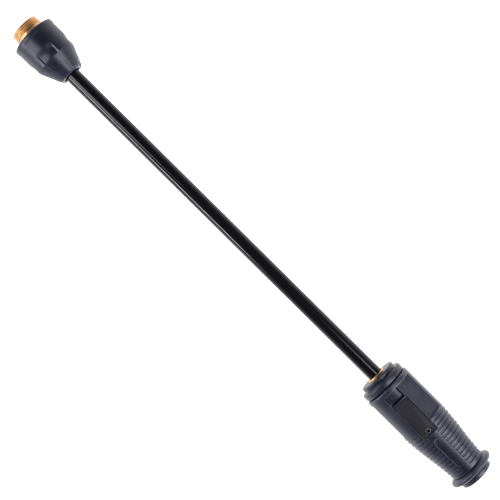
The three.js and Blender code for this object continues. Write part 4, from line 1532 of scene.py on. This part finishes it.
@dataclass
class Nozzle:
    """The two fan jaws at the mouth, and the pieces of the carrier behind them."""

    wardrobe: Wardrobe
    radius: float = 5.2
    half_width: float = 4.6
    half_gap: float = 0.4
    channel: float = 1.2
    throat: float = 3.0
    jaw_mesh: float = 2.0
    swing_deg: float = 3.0
    pivot_height: float = 3.0
    start: float = 62.1
    end: float = 90.2
    pivot: float = 66.4

    def build(self) -> None:
        """Builds the jaws and dresses the rest."""
        self.wardrobe.add(self.jaw("upper_brass_jaw", 1), "upper_fan_jaw", Slot.BRASS)
        self.wardrobe.add(self.jaw("lower_brass_jaw", -1), "lower_fan_jaw", Slot.BRASS)
        self.wardrobe.dress(Slot.BRASS, "carrier_bush")
        self.wardrobe.dress(Slot.GUIDE_PLASTIC, "nozzle_carrier")
        self.wardrobe.dress(Slot.SEAL, "jet_seal")
        self.wardrobe.dress(Slot.STEEL, "jet_insert", "upper_jaw_pin", "lower_jaw_pin")

    def jaw(self, name: str, side: int) -> Piece:
        """Builds a jaw, half a rod with half a channel, swung open to its place at rest.

        Args:
            name: The object's name.
            side: 1 for the upper jaw, -1 for the lower.

        Returns:
            The object.
        """
        back = extent("rear_collar").start
        start, end = back + self.start, back + self.end
        outline = rounded([
            (start, self.channel * 2, 0.2),
            (start, self.radius, 0.3),
            (end, self.radius, 1.2),
            (end, self.channel, 0.4),
            (start + self.throat, self.channel, 0.8),
        ], closed=True)
        turning = Turned()
        rings = stations(start + 1, end - 1, self.jaw_mesh)
        turning.spin(with_stations(outline, rings), closed=True)
        mesh = turning.mesh
        cuts = [((0, 0, self.half_gap), (0, 0, -1))]
        cuts += [((0, self.half_width * way, 0), (0, way, 0)) for way in (1, -1)]
        for place, normal in cuts:
            geometry = mesh.verts[:] + mesh.edges[:] + mesh.faces[:]
            bmesh.ops.bisect_plane(mesh, geom=geometry, dist=MERGE, plane_co=place, plane_no=normal,
                                   clear_outer=True)
            bmesh.ops.holes_fill(mesh, edges=[e for e in mesh.edges if e.is_boundary], sides=0)
        swing = Matrix.Rotation(math.radians(-self.swing_deg), 3, "Y")
        pivot = (back + self.pivot, 0, self.pivot_height)
        bmesh.ops.rotate(mesh, verts=mesh.verts, cent=pivot, matrix=swing)
        if side < 0:
            bmesh.ops.scale(mesh, verts=mesh.verts, vec=(1, 1, -1))
        return turning.finish(name)


# ---- Studio ----


class Lamp(NamedTuple):
    """A soft area light: its place, the x that it faces, its length and height in metres, and its watts."""

    name: str
    place: Place
    facing_x: float
    size: tuple[float, float]
    power: float


LAMPS = (
    Lamp("low_strip", (-0.21, -0.88, 0.5), -0.21, (0.42, 0.11), 5.2),
    Lamp("near_softbox", (-0.37, -0.43, 0.7), -0.2, (0.3, 0.56), 3.3),
    Lamp("far_softbox", (0.48, 0.46, 0.62), 0.2, (0.38, 0.8), 8.0),
)


@dataclass
class Studio:
    """A pale floor, soft lights and the camera above the lance."""

    distance: float = 0.894
    lean_deg: float = 6.8
    foot_x: float = 0.0
    aim: tuple[float, float] = (-0.00086, 0.0002)
    roll_deg: float = 44.68
    lens: float = 92.25
    tent: Colour = (0.72, 0.73, 0.79)
    dark: Colour = (0.04, 0.04, 0.05)
    opening: tuple[float, float] = (0.15, 0.65)
    floor_half: float = 12.0
    floor_pale: Colour = (0.9, 0.9, 0.9)
    floor_white: Colour = (0.93, 0.93, 0.93)
    floor_glow: float = 0.85

    def build(self) -> None:
        """Builds the camera, the floor, the lights and the surroundings."""
        self.camera()
        self.floor()
        for lamp in LAMPS:
            self.light(lamp)
        self.surroundings()
        bpy.context.scene.view_settings.view_transform = "Standard"

    def camera(self) -> None:
        """Places the camera, rolled so that the lance runs down to the right."""
        lean = math.radians(self.lean_deg)
        height = axis_height() * MM
        offset = Vector((self.foot_x, self.distance * math.sin(lean), self.distance * math.cos(lean)))
        place = offset + Vector((0, 0, height))
        backward = (place - Vector((*self.aim, height))).normalized()
        along = Vector((1, 0, 0))
        along = (along - backward * along.dot(backward)).normalized()
        across = backward.cross(along)
        roll = math.radians(self.roll_deg)
        right = along * math.cos(roll) + across * math.sin(roll)
        up = across * math.cos(roll) - along * math.sin(roll)
        data = bpy.data.cameras.new("camera")
        data.lens = self.lens
        data.clip_start = 0.01
        camera = bpy.data.objects.new("camera", data)
        bpy.context.scene.collection.objects.link(camera)
        turned = Matrix((right, up, backward)).transposed().to_4x4()
        camera.matrix_world = Matrix.Translation(place) @ turned
        bpy.context.scene.camera = camera

    def floor(self) -> None:
        """Builds the floor."""
        mesh = bmesh.new()
        bmesh.ops.create_grid(mesh, x_segments=1, y_segments=1, size=self.floor_half)
        data = bpy.data.meshes.new("floor")
        mesh.to_mesh(data)
        mesh.free()
        piece = bpy.data.objects.new("floor", data)
        bpy.context.scene.collection.objects.link(piece)
        graph = Graph(bpy.data.materials.new("floor"))
        shade = graph.span(graph.noise(3.0), 0.2, 0.8)
        colour = graph.blend(shade, self.floor_pale, self.floor_white)
        data.materials.append(graph.finish(Base_Color=colour, Roughness=0.9, Emission_Color=(1.0, 1.0, 1.0),
                                           Emission_Strength=self.floor_glow))

    def light(self, lamp: Lamp) -> None:
        """Adds a light.

        Args:
            lamp: What it is and where it stands.
        """
        data = bpy.data.lights.new(lamp.name, "AREA")
        data.shape = "RECTANGLE"
        data.size, data.size_y = lamp.size
        data.energy = lamp.power
        made = bpy.data.objects.new(lamp.name, data)
        made.location = lamp.place
        facing = Vector((lamp.facing_x, 0, axis_height() * MM)) - made.location
        made.rotation_euler = facing.to_track_quat("-Z", "Y").to_euler()
        bpy.context.scene.collection.objects.link(made)

    def surroundings(self) -> None:
        """Surrounds the scene with a white tent that is open, and so dark, at the top."""
        world = bpy.data.worlds.new("surroundings")
        graph = Graph(world)
        around = graph.node("ShaderNodeTexCoord", output="Generated")
        height = graph.node("ShaderNodeSeparateXYZ", sockets={"Vector": around}, output="Z")
        opening = graph.span(height, *self.opening)
        shade = graph.blend(opening, self.tent, self.dark)
        graph.end(graph.node("ShaderNodeBackground", sockets={"Color": shade}), "ShaderNodeOutputWorld")
        bpy.context.scene.world = world


def main() -> None:
    """Builds the studio and every sub-assembly."""
    logging.basicConfig(level=logging.INFO, format="%(message)s")
    Studio().build()
    wardrobe = Wardrobe()
    for assembly in (Coupling, Shaft, HeadBase, Sleeve, Nozzle):
        assembly(wardrobe).build()


if __name__ == "__main__":
    main()
